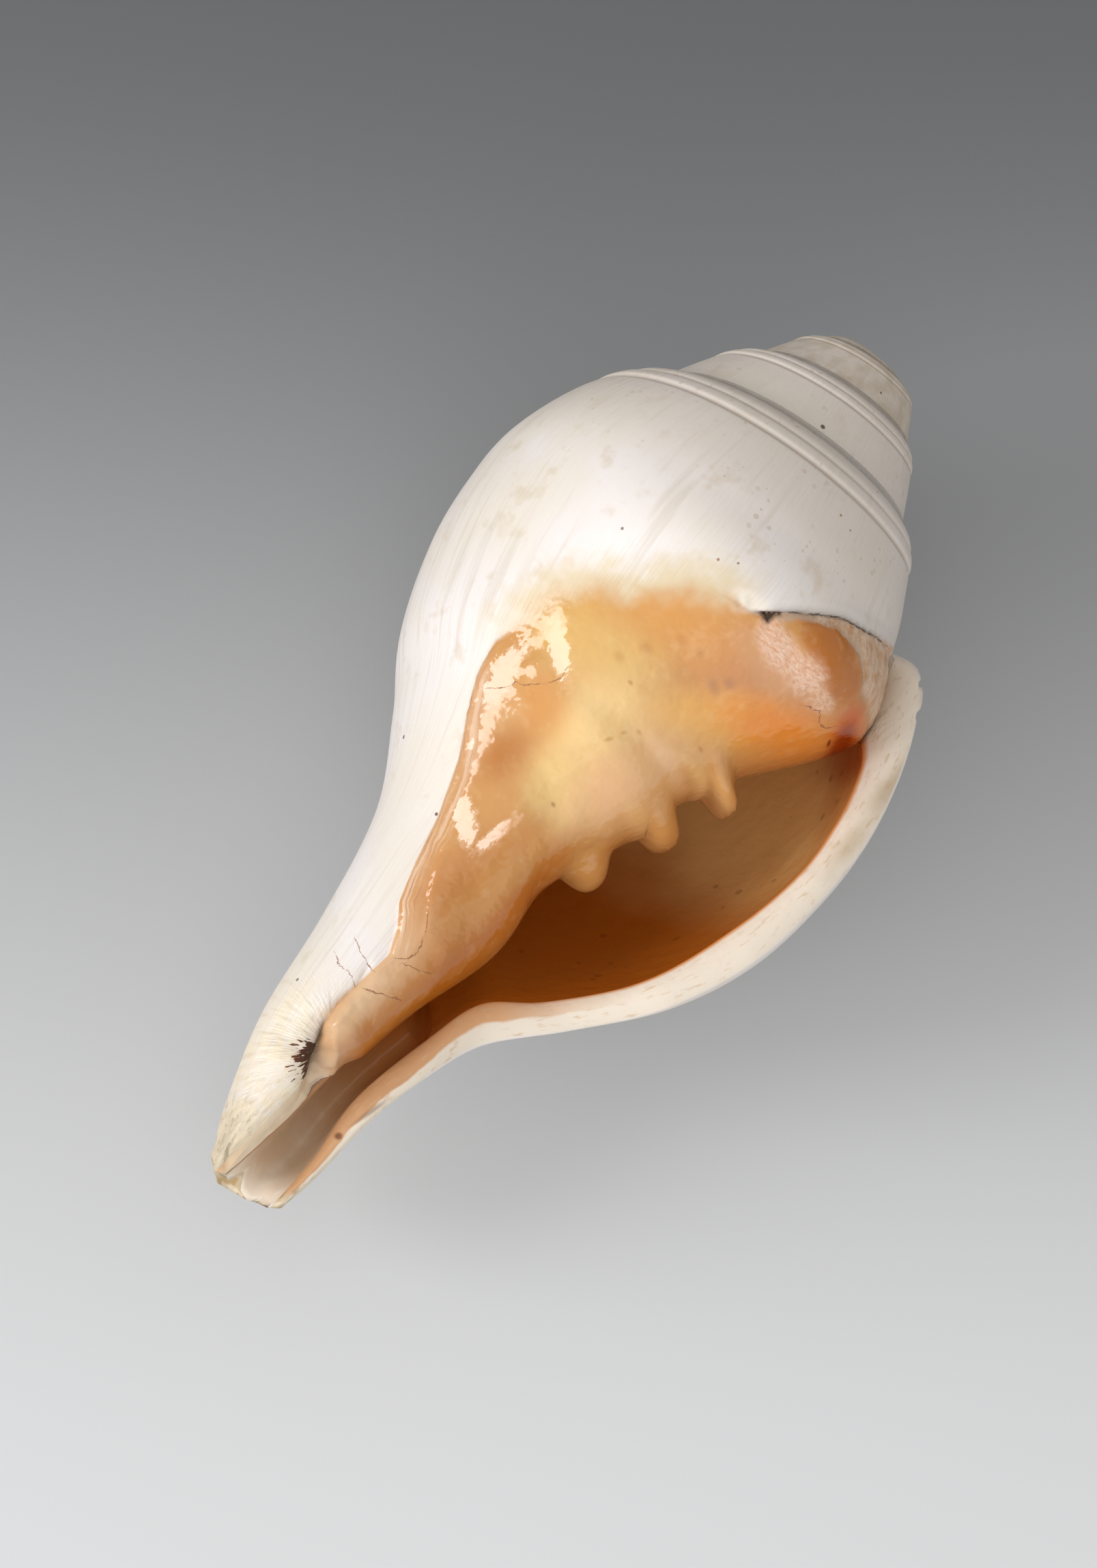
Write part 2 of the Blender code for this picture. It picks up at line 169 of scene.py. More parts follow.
# The gap between the pad and the whorl above it, and the hole where the gap opens.
GAP = ((28.8, 47.7), (25.1, 50.5), (21.3, 52.6), (17.7, 55.9), (14.8, 58.6), (13.1, 60.3),
       (11.0, 62.3), (8.5, 63.6))
GAP_WIDTH = 0.3
GAP_DEPTH = 0.8
HOLE_DEPTH = 1.1
HOLE = ((10.7, 62.3), (13.6, 59.9), (12.7, 62.7))
# The swollen amber pad in the lip's corner ends in a broken edge, with chipped glaze beyond it.
PAD_EDGE = ((31.5, 62.4), (30.0, 59.4), (29.0, 56.6), (27.2, 55.2), (24.4, 54.9), (20.6, 55.5),
            (17.2, 58.2), (14.0, 60.6))
CHIP_SIZE = 1.6
CHIP_RISE = 0.1
# Soft swellings of the glaze: (x, h), (reach in x, in h), rise.
SWELLS = (((23.0, 59.4), (7.5, 6.0), 0.9), ((1.2, 104.0), (5.2, 6.5), 0.6),
          ((9.4, 61.4), (2.4, 1.1), 0.4),
          ((-9.0, 88.0), (5.0, 4.5), 0.3), ((12.5, 70.0), (9.0, 6.0), 0.3))
# Hairline cracks, each a path of (x, h).
HAIRLINES = (
    ((-12.3, 93.2), (-10.5, 91.5), (-10.0, 90.3), (-8.6, 90.1), (-6.9, 88.6), (-5.7, 87.2),
     (-5.8, 85.8)),
    ((24.7, 65.7), (26.9, 64.3), (28.1, 65.2), (29.6, 64.3), (30.4, 63.1)),
    ((-4.2, 134.0), (-2.0, 135.4), (0.3, 136.0)),
    ((-5.1, 137.4), (-3.6, 138.6), (-2.0, 138.4), (-0.2, 139.4)),
    ((3.3, 132.2), (5.4, 131.3), (6.7, 130.2)),
    ((1.4, 139.0), (3.2, 137.9), (5.7, 136.3)),
    ((1.0, 124.2), (2.4, 126.4), (3.4, 129.0), (3.2, 131.4), (2.0, 132.4)),
)
# The slit beside the columella opens into a hole, with the hollow of the false umbilicus to its
# left. Growth lines and brown streaks run into it.
SLIT = ((-0.6, 136.0), (0.3, 138.2), (-0.4, 143.0), (-0.2, 146.6), (1.4, 148.6), (3.4, 150.1),
        (4.3, 151.4), (4.8, 154.0), (4.4, 158.0), (3.4, 166.0))
SLIT_DEPTH = ((134.0, 0.0), (140.0, 0.8), (145.0, 1.5), (148.0, 3.4), (151.5, 4.0), (153.5, 2.4),
              (156.0, 0.8), (160.0, 0.2), (166.0, 0.0))
SLIT_REACH = ((134.0, 0.5), (144.0, 0.8), (149.0, 2.2), (152.0, 2.8), (156.0, 2.0), (174.0, 2.0))
STREAK_FOCUS = (5.0, 148.5)
SLIT_RIM_SPAN = (140.0, 6.0, 156.0, 6.0)
# The tip of the canal: worn rough below this height, its end at each x moved out by this much.
ERODED_FROM = 160.0
ERODED_DEPTH = 0.45
TIP_FROM, TIP_RUN = 163.0, 7.0
TIP_END = ((-1.0, 0.0), (1.4, 1.5), (3.0, 2.6), (4.2, 2.0), (5.1, -1.4), (6.2, 1.2), (8.5, 1.6),
           (9.6, 0.4), (11.2, 0.8), (13.0, 0.2))
# The face, seen into the mouth, is the outside before this turn and below this height. What lies
# on it starts at the turn FRONT[0] and is whole FRONT[1] of a turn on.
FACE_BEFORE, FACE_BELOW = -0.5, 44.0
FRONT = (-0.58, 0.04)
# The brink is the thin edge of the glaze at the mouth, between the folds. It starts as the front
# does, and fades towards the height where it ends.
BRINK = (-0.885, 0.08)
BRINK_END, BRINK_FADE = 118.0, 12.0
FOLD_LOWER = 3.4  # how much lower the folds lie at the brink than in FOLDS
FAR_OFF = 9.0  # stands for any distance from a path too large to matter

# The lights, as (name, place, (width, height), watts), and the room's own light. Then the table's
# painted shade, a sweep of colour darker towards one end where less light falls: the direction it
# darkens in, where it starts and ends, and its two greys. Last, the table's size and the camera.
LIGHTS = (
    ("window", (-0.76, 0.87, 0.52), (0.42, 0.95), 9.9),
    ("reflector", (-0.62, -0.80, 0.36), (1.4, 1.2), 2.9),
    ("ceiling", (-0.75, 0.10, 1.2), (1.8, 1.8), 5.7),
)
AIM = Vector((0.0, 0.0, 0.04))  # what the lights point at
ROOM = 0.58
ROOM_COLOUR = (249, 246, 242)
SWEEP_TURN = math.radians(41.5)
SWEEP = (-0.13, 0.16)
PALE, SHADE_GREY = (219, 221, 224), (104, 106, 109)
TABLE_HALF = 3.0
CAMERA_AT = (-0.34052, 0.00194, 0.98760)
CAMERA_TURNED = (15.256, -12.358, -51.879)  # degrees
FOCAL, SENSOR = 219.5, 36.0


def size_at(t):
    """Size of the shell at turn t, 1 at the lip."""
    return np.exp(GROWTH * (t - DOMING * t * t))


def smooth(x):
    """0 below 0, 1 above 1, and a smooth step between."""
    x = np.clip(x, 0.0, 1.0)
    return x * x * (3.0 - 2.0 * x)


def along(knots, values, at):
    """Smooth curve (Catmull-Rom) read at each place in at; values is (places, knots, numbers)."""
    knots = np.asarray(knots, float)
    slope = np.gradient(values, knots, axis=1)
    i = np.clip(np.searchsorted(knots, at, side="right") - 1, 0, len(knots) - 2)
    place = np.arange(len(at))
    width = (knots[i + 1] - knots[i])[:, None]
    u = (at - knots[i])[:, None] / width
    return (
        (2 * u**3 - 3 * u**2 + 1) * values[place, i]
        + (u**3 - 2 * u**2 + u) * width * slope[place, i]
        + (3 * u**2 - 2 * u**3) * values[place, i + 1]
        + (u**3 - u**2) * width * slope[place, i + 1]
    )


def around(radius, angle, height):
    return np.stack([radius * np.cos(angle), radius * np.sin(angle), height], axis=-1)


def whorl_knots(t):
    """The 13 knots of the outside at each turn in t, from -1 to the lip."""
    size = size_at(t)[:, None, None]
    upper = np.array(WHORL) * size
    swell = smooth((CALLUS_START - t) / (CALLUS_START + 1.0))[:, None, None] ** CALLUS_EASE
    inner = np.array(INNER_SIDE) * size / size_at(-1.0)
    upper = upper + (inner - upper) * swell
    flare = smooth((t + LIP_FLARE) / LIP_FLARE)[:, None, None]
    upper = upper + (np.array(LIP) * size - upper) * flare
    angle = -2.0 * math.pi * t
    knots = [around(upper[:, k, 0], angle, upper[:, k, 1]) for k in range(upper.shape[1])]
    order = np.argsort(STEM_AT)
    for centre, stations in STEM:
        table = np.tile(np.array(stations, float)[order], (len(t), 1, 1))
        degrees, radius, height = along(np.array(STEM_AT)[order], table, t).T
        knots.append(around(radius, np.radians(degrees), height) + (*centre, 0.0))
    return np.stack(knots, axis=1)


def folded(points, t):
    """Points of the mouth's inner side pushed out into the folds."""
    shrink = size_at(np.minimum(t, -1.0)) / size_at(-1.0)
    push = np.zeros(len(points))
    for height, reach, half_width, start in FOLDS:
        off = (points[:, 2] / shrink - height) / half_width
        push += reach * np.exp(-np.abs(off) ** FOLD_BLUNT) * smooth((start - t) / FOLD_RUN_IN)
    out = np.hypot(points[:, 0], points[:, 1])[:, None]
    points = points.copy()
    points[:, :2] += points[:, :2] / out * (push * shrink)[:, None]
    points[:, 2] += FOLD_DROOP * push * shrink
    return points


def outside(t, places):
    """Points of the outside at turns t and knot places."""
    t = np.broadcast_to(t, places.shape).astype(float)
    return folded(along(np.arange(TIP_KNOT + 1), whorl_knots(t), places), t)


def spire(t, places):
    """Points of the outside between two seams, at turns t below -1."""
    size = size_at(t)
    knots = np.tile(np.array(INNER_SIDE[: SEAM_KNOT + 1]) / size_at(-1.0), (len(places), 1, 1))
    knots[:, SEAM_KNOT] = np.array(WHORL[0]) * (size_at(t + 1.0) / size)[:, None]
    radius, height = along(np.arange(SEAM_KNOT + 1), knots, places).T * size
    return around(radius, -2.0 * math.pi * t, height)


def inner_side(t, places):
    """The mouth's inner side carried back into the shell to turn t: wound back and shrunk."""
    size = size_at(t - 1.0) / size_at(-1.0)
    turned = np.array(Matrix.Rotation(-2.0 * math.pi * t, 3, "Z"))
    return outside(-1.0, places) @ turned.T * size


def outer_wall(t, places):
    """Points of the inside of the outer wall."""
    knots = np.tile(np.array(MOUTH_WALL), (len(places), 1, 1))
    radius, height = along(np.arange(TIP_KNOT + 1), knots, places).T * size_at(t)
    return around(radius, -2.0 * math.pi * t, height)


def lip_bend(t, places):
    """Turn of each point of column t, which bends to meet the lip's edge."""
    edge = np.interp(places, np.arange(TIP_KNOT + 1), LIP_EDGE)
    return t + edge * smooth((t + LIP_REACH) / LIP_REACH)


def cavity_floor(wall_end, inner_end, size):
    """Points across the cavity's bottom, from the outer wall to the inner side."""
    share = np.linspace(0.0, 1.0, FLOOR_STEPS + 1)[:, None]
    row = wall_end + (inner_end - wall_end) * share
    row[:, 2:] += FLOOR_SAG * size * np.sin(math.pi * share)
    return row


def canal_floor(places):
    """Rows of points across the canal from the throat to the tip, each from lip to columella."""
    outer = outer_wall(lip_bend(0.0, places), places)[:, None]
    inner = outside(-1.0, places)[:, None]
    depth = np.interp(places, range(THROAT_KNOT, TIP_KNOT + 1), CANAL_DEPTH)[:, None]
    share = np.linspace(0.0, 1.0, FLOOR_STEPS + 1)
    rows = outer + (inner - outer) * share[:, None]
    rows[:, :, 1] += depth * np.sin(math.pi * share) ** CANAL_SQUARE
    rows[:, :, 0] += CANAL_UNDERCUT * np.sin(2.0 * math.pi * share)
    return rows


def places_of(rows):
    """The knot place of each row."""
    ends = np.cumsum((0, *rows))
    return np.interp(np.arange(ends[-1] + 1), ends, np.arange(len(rows) + 1))


class Wall:
    """Points and faces of the closed wall, gathered patch by patch."""

    def __init__(self):
        self.points = []
        self.turn = []
        self.place = []
        self.inside = []
        self.depth = []
        self.faces = []

    def add(self, points, turn, place, inside=0.0, depth=0.0):
        """Adds points in millimetres; the rest are numbers, or one for each point."""
        first = len(self.points)
        self.points.extend(points)
        for store, value in ((self.turn, turn), (self.place, place), (self.inside, inside),
                             (self.depth, depth)):
            store.extend(np.broadcast_to(value, len(points)))
        return np.arange(first, len(self.points))

    def patch(self, rows):
        """Quads between rows of point numbers; one with a repeated corner is a triangle."""
        for upper, lower in zip(rows, rows[1:]):
            for j in range(len(upper) - 1):
                ring = (upper[j], lower[j], lower[j + 1], upper[j + 1])
                ring = [p for k, p in enumerate(ring) if p != ring[k - 1]]
                if len(set(ring)) > 2:
                    self.faces.append(ring)

    def fan(self, ring):
        """Closes a ring of point numbers with triangles to its middle."""
        middle = np.mean([self.points[p] for p in ring], axis=0)
        first = ring[0]
        number = self.add([middle], self.turn[first], self.place[first], self.inside[first],
                          self.depth[first])[0]
        self.faces.extend([ring[k - 1], p, number] for k, p in enumerate(ring))

    def shares(self, row):
        ends = np.array([self.points[p] for p in row])
        steps = np.linalg.norm(np.diff(ends, axis=0), axis=1)
        return np.append(0.0, np.cumsum(steps)) / steps.sum()

    def zipper(self, first, second, keys=None):
        """Triangles between two rows of points; keys say how far along each point of a row is."""
        a, b = keys or (self.shares(first), self.shares(second))
        i = j = 0
        while i < len(first) - 1 or j < len(second) - 1:
            if j == len(second) - 1 or (i < len(first) - 1 and a[i + 1] <= b[j + 1]):
                face = [first[i], first[i + 1], second[j]]
                i += 1
            else:
                face = [first[i], second[j + 1], second[j]]
                j += 1
            if len(set(face)) == 3:
                self.faces.append(face)


def draw_wall():
    """The whole wall, wound, as points and faces."""
    wall = Wall()
    places = places_of(ROWS)
    ends = np.cumsum((0, *ROWS))
    seam_row, corner_row, throat_row = ends[[SEAM_KNOT, CORNER_KNOT, THROAT_KNOT]]
    kept = np.concatenate([np.arange(ends[k], ends[k + 1], stride)
                           for k, stride in enumerate(BACK_STRIDE)] + [ends[-1:]])
    back_places = places[kept]
    # The mouth's face, fine, and the rest of the last whorl, coarser.
    face_turns = np.linspace(-1.0, FACE_END, FACE_COLUMNS + 1)
    face = []
    for t in face_turns:
        face.append(wall.add(outside(np.full(places.shape, t), places), t, places))
    back_turns = np.linspace(FACE_END, 0.0, BACK_COLUMNS + 1)[1:]
    back = []
    for t in back_turns:
        bent = lip_bend(t, back_places)
        back.append(wall.add(outside(bent, back_places), bent, back_places))
    # The spire, whose own lower rows end just above the next whorl's seam.
    spire_places = places_of(SPIRE_ROWS)[:-1]
    count = round((SPIRE_TURNS - 1.0) * SPIRE_COLUMNS_PER_TURN)
    spire_turns = np.linspace(-SPIRE_TURNS, -1.0, count + 1)[:-1]
    spire_columns = []
    for t in spire_turns:
        points = spire(np.full(spire_places.shape, t), spire_places)
        spire_columns.append(wall.add(points, t, spire_places))
    # The point of the last seam where the mouth's upper corner starts.
    face[0][seam_row] = back[-1][0]
    wall.patch(face)
    wall.patch(back)
    wall.zipper(face[-1], back[0], (places, back_places))
    wall.patch(spire_columns)
    top = face[0][: seam_row + 1]
    wall.zipper(spire_columns[-1], top[:-1], (spire_places, places[:seam_row]))
    seam = [c[0] for c in spire_columns] + [c[0] for c in face] + [c[0] for c in back]
    seam_turns = np.concatenate([spire_turns, face_turns, back_turns])
    lower = [c[-1] for c in spire_columns] + [top[-2], top[-1]]
    lower_turns = np.append(spire_turns, (-1.0, -1.0 + 1e-6))
    later = seam_turns >= lower_turns[0] + 1.0 - 1e-9
    later_seam = list(np.array(seam)[later])
    wall.zipper(lower, later_seam, (lower_turns, seam_turns[later] - 1.0))
    first_turn = np.nonzero(later)[0][0]
    ring = seam[: first_turn + 1] + list(spire_columns[0][::-1][:-1])
    wall.fan(ring)
    # The cavity.
    mouth_places = back_places[back_places <= THROAT_KNOT]
    inner_numbers = face[0][corner_row : throat_row + 1]
    inner_places = places[corner_row : throat_row + 1]
    canal_places = back_places[back_places >= THROAT_KNOT]
    canal = canal_floor(canal_places)
    opening = canal[0] - cavity_floor(canal[0][0], canal[0][-1], 1.0)
    loops = []
    loop_keys = []
    coarse_wall = np.linspace(0.0, THROAT_KNOT, CAVITY_WALL_STEPS + 1)
    coarse_inner = np.linspace(CORNER_KNOT, THROAT_KNOT, CAVITY_WALL_STEPS + 1)
    depths = CAVITY_TURNS * np.linspace(0.0, 1.0, CAVITY_LOOPS + 1) ** 1.6
    for depth in depths:
        t = -depth
        at_mouth = depth == 0.0
        wall_places = mouth_places if at_mouth else coarse_wall
        side_places = inner_places if at_mouth else coarse_inner
        outer = outer_wall(lip_bend(t, wall_places), wall_places)
        inner = inner_side(t, side_places)
        floor = cavity_floor(outer[-1], inner[-1], size_at(t))
        floor += opening * max(0.0, 1.0 + t / LIP_REACH)
        outer_row = wall.add(outer[1:], t, wall_places[1:], 1.0, depth)
        floor_row = wall.add(floor[1:-1], t, THROAT_KNOT, 1.0, depth)
        if at_mouth:
            inner_row = inner_numbers
        else:
            inner_row = wall.add(inner, t - 1.0, side_places, 1.0, depth)
        loops.append(np.concatenate([[inner_row[0]], outer_row, floor_row, inner_row[::-1]]))
        floor_keys = np.linspace(THROAT_KNOT, THROAT_KNOT + 1.0, FLOOR_STEPS + 1)[1:-1]
        side_keys = THROAT_KNOT + 1.0 + THROAT_KNOT - side_places[::-1]
        loop_keys.append(np.concatenate([wall_places, floor_keys, side_keys]))
    mouth = loops[0]
    wall.zipper(loops[0], loops[1], loop_keys[:2])
    wall.patch(loops[1:])
    wall.fan(loops[-1][:-1])
    # The canal's floor.
    mouth_end = len(mouth_places) - 1
    rows = [mouth[mouth_end : mouth_end + FLOOR_STEPS]]
    for place, row in zip(canal_places[1:], canal[1:]):
        rows.append(wall.add(row[:-1], 0.0, place, 1.0))
    wall.patch(rows)
    columella = face[0][throat_row:]
    wall.zipper([row[-1] for row in rows], columella, (canal_places, places[throat_row:]))
    # The lip's edge.
    outer_edge = back[-1]
    inner_edge = np.concatenate([mouth[:mouth_end], [row[0] for row in rows]])
    a = np.array([wall.points[p] for p in outer_edge])
    b = np.array([wall.points[p] for p in inner_edge])
    forward = np.stack([a[:, 1], -a[:, 0], np.zeros(len(a))], axis=1)
    forward /= np.linalg.norm(forward, axis=1)[:, None]
    forward *= RIM_BULGE * smooth(back_places / RIM_FADE)[:, None]
    rim = [outer_edge]
    steps = corner_row - seam_row
    for k in range(1, steps):
        share = k / steps
        row = a + (b - a) * share + forward * math.sin(math.pi * share) ** RIM_SQUARE
        numbers = wall.add(row[1:], lip_bend(0.0, back_places[1:]), back_places[1:], share)
        rim.append(np.append(face[0][seam_row + k], numbers))
    rim.append(inner_edge)
    wall.patch(rim)
    # The end of the stem.
    outer_end = [c[-1] for c in back[::-1]] + [c[-1] for c in face[::-1]]
    inner_end = [row[-1] for row in rim] + list(rows[-1][1:]) + [face[0][-1]]
    wall.zipper(outer_end, inner_end)
    return wall


def unwound(points, turns):
    """(radius, turn, height) of a shell that never grows, which the coil tree winds back."""
    angle = np.arctan2(points[:, 1], points[:, 0])
    turn = -angle / (2.0 * math.pi)
    turn += np.round(turns - turn)
    size = size_at(turn)
    radius = np.hypot(points[:, 0], points[:, 1])
    return np.stack([radius / size, turn, points[:, 2] / size], axis=1)


def wall_mesh(wall):
    """The unwound wall as a mesh, with its faces turned outwards."""
    points = np.array(wall.points)
    mesh = bpy.data.meshes.new("shell wall")
    faces = [[int(p) for p in face] for face in wall.faces]
    mesh.from_pydata((points * (1.0, 1.0, -1.0)).tolist(), [], faces)
    bm = bmesh.new()
    bm.from_mesh(mesh)
    numbers = bm.verts.layers.int.new("number")
    for vertex in bm.verts:
        vertex[numbers] = vertex.index
    bmesh.ops.delete(bm, geom=[v for v in bm.verts if not v.link_faces], context="VERTS")
    bmesh.ops.recalc_face_normals(bm, faces=bm.faces)
    bm.to_mesh(mesh)
    bm.free()
    kept = np.empty(len(mesh.vertices), int)
    mesh.attributes["number"].data.foreach_get("value", kept)
    turns, places, inside, depth = (
        np.array(store, float)[kept] for store in (wall.turn, wall.place, wall.inside, wall.depth)
    )
    points = points[kept]
    x, _, h = points.T
    normals = np.empty(len(points) * 3)
    mesh.vertex_normals.foreach_get("vector", normals)
    normals = normals.reshape(-1, 3) * (1.0, 1.0, -1.0)
    face = (inside == 0.0) & (turns < FACE_BEFORE) & (turns >= -1.0) & (h > FACE_BELOW)
    front = face * smooth((FRONT[0] - turns) / FRONT[1])
    rise, crevice, edge = relief(points, front)
    raised = tipped(points + normals * rise[:, None])
    mesh.vertices.foreach_set("co", unwound(raised, turns).ravel())
    crack = np.full(len(x), FAR_OFF)
    for path in HAIRLINES:
        new = path_distance(x, h, path)
        crack = np.where(np.abs(new) < np.abs(crack), new, crack)
    fold = np.max([bump(h - height - FOLD_LOWER, 1.5 * half_width)
                   for height, _, half_width, _ in FOLDS], axis=0)
    brink = smooth((BRINK[0] - turns) / BRINK[1]) * smooth((BRINK_END - h) / BRINK_FADE)
    values = {
        "growth": turns,
        "down": places,
        "inside": inside,
        "depth": depth,
        "edge": np.where(front > 0.0, np.clip(edge, -FAR_OFF, FAR_OFF), -FAR_OFF),
        "crevice": crevice,
        # The callus, the lip's edge and the cavity hide the wall's growth.
        "bare": (inside == 0.0) * smooth(np.where(face, -edge, FAR_OFF) / 2.0),
        "gap": path_distance(x, h, GAP),
        "front": front,
        "pad": path_distance(x, h, PAD_EDGE),
        "brink": front * brink * (1.0 - 0.85 * fold),
        "crack": crack,
        "crack_near": front * (1.0 - smooth((np.abs(crack) - 0.6) / 0.4)),
    }
    for name, numbers in values.items():
        attribute = mesh.attributes.new(name, "FLOAT", "POINT")
        attribute.data.foreach_set("value", numbers)
    attribute = mesh.attributes.new("shell_place", "FLOAT_VECTOR", "POINT")
    attribute.data.foreach_set("vector", points.ravel())
    return mesh


def beside(x, h, start, end):
    """How each point lies to a straight side: its share of the way along, not held to the side's
    ends, and its distance from the side."""
    (x0, h0), (x1, h1) = start, end
    share = ((x - x0) * (x1 - x0) + (h - h0) * (h1 - h0)) / math.dist(start, end) ** 2
    held = np.clip(share, 0.0, 1.0)
    return share, np.hypot(x - x0 - held * (x1 - x0), h - h0 - held * (h1 - h0))


def path_distance(x, h, path):
    """Distance of each point from a path of (x, h) corners, with a sign: positive to its left."""
    best = np.full(len(x), np.inf)
    signed = best.copy()
    for start, end in zip(path, path[1:]):
        (x0, h0), (x1, h1) = start, end
        away = beside(x, h, start, end)[1]
        left = (x - x0) * (h1 - h0) - (h - h0) * (x1 - x0) >= 0.0
        signed = np.where(away < best, np.where(left, away, -away), signed)
        best = np.minimum(away, best)
    return signed


def path_share(x, h, path):
    """How far along a path of (x, h) corners each point lies, in millimetres."""
    best = np.full(len(x), np.inf)
    share_at = np.zeros(len(x))
    gone = 0.0
    for start, end in zip(path, path[1:]):
        share, away = beside(x, h, start, end)
        near = away < best - 1e-9
        best = np.where(near, away, best)
        share_at = np.where(near, gone + share * math.dist(start, end), share_at)
        gone += math.dist(start, end)
    return share_at


def depth_within(x, h, corners):
    """Depth of each point inside an outline without dents, negative outside it."""
    sides = zip(corners, corners[1:] + corners[:1])
    return np.min([((x0 - x) * (h1 - h0) - (h0 - h) * (x1 - x0)) / math.hypot(x1 - x0, h1 - h0)
                   for (x0, h0), (x1, h1) in sides], axis=0)


def read(table, at):
    """A value read from (place, value) pairs."""
    table = np.array(table)
    return np.interp(at, table[:, 0], table[:, 1])


def bump(distance, width):
    return np.exp(-((distance / width) ** 2))


def roughness_at(points, size, seed):
    """Smooth noise from -1 to 1 at each point, of about this size in millimetres."""
    shift = Vector((seed, 2.0 * seed, -seed))
    return np.array([noise.noise(Vector(p) / size + shift) for p in points])


def oval(x, h, middle, reach, degrees):
    """Distance from the middle of a turned oval, 1 at its edge."""
    turn = math.radians(degrees)
    right, down = x - middle[0], h - middle[1]
    return np.hypot((right * math.cos(turn) + down * math.sin(turn)) / reach[0],
                    (down * math.cos(turn) - right * math.sin(turn)) / reach[1])


def tipped(points):
    """Draws the canal's end out into its worn corners, with a notch between them."""
    points = points.copy()
    x, _, h = points.T
    points[:, 2] += smooth((h - TIP_FROM) / TIP_RUN) * read(TIP_END, x)
    return points


def span(value, start, run, end, fade):
    """1 between start + run and end, falling off smoothly on both sides."""
    return smooth((value - start) / run) * (1.0 - smooth((value - end) / fade))


def relief(points, front):
    """How far each point is raised along its normal, how dark a crevice it lies in, and how far
    inside the callus's edge it is."""
    x, _, h = points.T
    rough = roughness_at(points, CHIP_SIZE, 3.0)
    coarse = roughness_at(points, 3.0, 7.0)
    edge = path_distance(x, h, CALLUS_EDGE)
    ledge = span(h, *LEDGE_SPAN)
    rise = ledge * LEDGE_RISE * smooth(edge / 0.6)
    rise += ledge * 0.3 * smooth((edge - 0.6) / 3.0)
    rise += (1.0 - ledge) * 0.2 * smooth(edge / 5.0) * (h < 100.0)
    layer = path_distance(x, h, SECOND_LAYER) + 0.3 * rough
    rise += LAYER_RISE * span(h, *LAYER_SPAN) * span(layer, 0.0, 0.45, 1.0, 6.0)
    # The gap, deep where it opens into a hole, and the whorl above rolled over it.
    gap = path_distance(x, h, GAP)
    far = smooth((x - 9.0) / 2.5)
    rise -= far * GAP_DEPTH * bump(gap, GAP_WIDTH)
    rise += far * 0.2 * bump(gap + 1.2, 0.9)
    hole = depth_within(x, h, HOLE)
    rise -= HOLE_DEPTH * smooth((hole + 0.25) / 0.5)
    # The chipped glaze beyond the amber pad.
    pad = path_distance(x, h, PAD_EDGE) + 0.35 * rough
    chipped = smooth(-pad / 0.4) * smooth((edge - 0.3) / 0.8) * smooth((x - 14.0) / 3.0)
    chipped *= 1.0 - smooth((h - 57.0) / 2.0)
    flakes = roughness_at(points * (1.5, 1.0, 0.5), 2.0, 11.0)
    rise += chipped * (CHIP_RISE * np.round(4.0 * flakes) - 0.45)
    for path, half_width, height in RIBS:
        off = np.abs(path_distance(x, h, path)) / half_width
        taper = smooth(path_share(x, h, path) / (RIB_TAPER * half_width))
        rise += height * np.exp(-(off**2.4)) * taper
    for middle, reach, height in SWELLS:
        rise += height * (1.0 - smooth(oval(x, h, middle, reach, 0.0))) * smooth(edge / 1.5 + 0.6)
    # The slit: a wall on its right, a slope into it from the left.
    slit = path_distance(x, h, SLIT) + 0.25 * rough
    left = np.exp(-np.clip(-slit, 0.0, None) / read(SLIT_REACH, h))
    right = 1.0 - smooth(slit / 1.8)
    hollow = read(SLIT_DEPTH, h) * np.where(slit < 0, left, right)
    rise -= hollow
    rise += 0.3 * span(h, *SLIT_RIM_SPAN) * bump(slit - 1.2, 1.2)
    # The eroded tip.
    eroded = smooth((h - ERODED_FROM) / 10.0)
    rise -= eroded * ERODED_DEPTH * np.abs(rough + 0.6 * coarse)
    crevice = 0.6 * far * bump(gap, 0.2) * smooth(coarse + 0.5) + smooth((hole + 0.1) / 0.3)
    crevice += smooth((hollow - 1.4) / 2.2) * (1.0 - smooth(slit + 0.3))
    return rise * front, np.clip(crevice, 0.0, 1.0) * front, edge


class Signal:
    """A socket of a node tree; sums written with signals become maths nodes."""

    def __init__(self, tree, socket):
        self.tree = tree
        self.socket = socket

    def __add__(self, other):
        return calc("ADD", self, other)

    def __sub__(self, other):
        return calc("SUBTRACT", self, other)

    def __mul__(self, other):
        return calc("MULTIPLY", self, other)

    def __truediv__(self, other):
        return calc("DIVIDE", self, other)

    def __abs__(self):
        return calc("ABSOLUTE", self)


def tree_of(*values):
    return next(value.tree for value in values if isinstance(value, Signal))


def feed(socket, value):
    """Links a signal to a socket, or sets the socket to a number, a vector or a 0 to 255 colour."""
    if isinstance(value, Signal):
        value.tree.links.new(value.socket, socket)
    elif socket.type == "RGBA" and len(value) == 3:
        socket.default_value = paint(*value)
    else:
        socket.default_value = value


def step(tree, kind, **settings):
    """A new node, with its settings."""
    node = tree.nodes.new(kind)
    for name, value in settings.items():
        setattr(node, name, value)
    return node


def calc(operation, *values):
    """A maths node fed with numbers or signals."""
    tree = tree_of(*values)
    node = step(tree, "ShaderNodeMath", operation=operation)
    for socket, value in zip(node.inputs, values):
        feed(socket, value)
    return Signal(tree, node.outputs[0])


def joined(x, y, z=0.0):
    """A vector made of three numbers."""
    tree = tree_of(x, y)
    node = step(tree, "ShaderNodeCombineXYZ")
    for socket, value in zip(node.inputs, (x, y, z)):
        feed(socket, value)
    return Signal(tree, node.outputs[0])


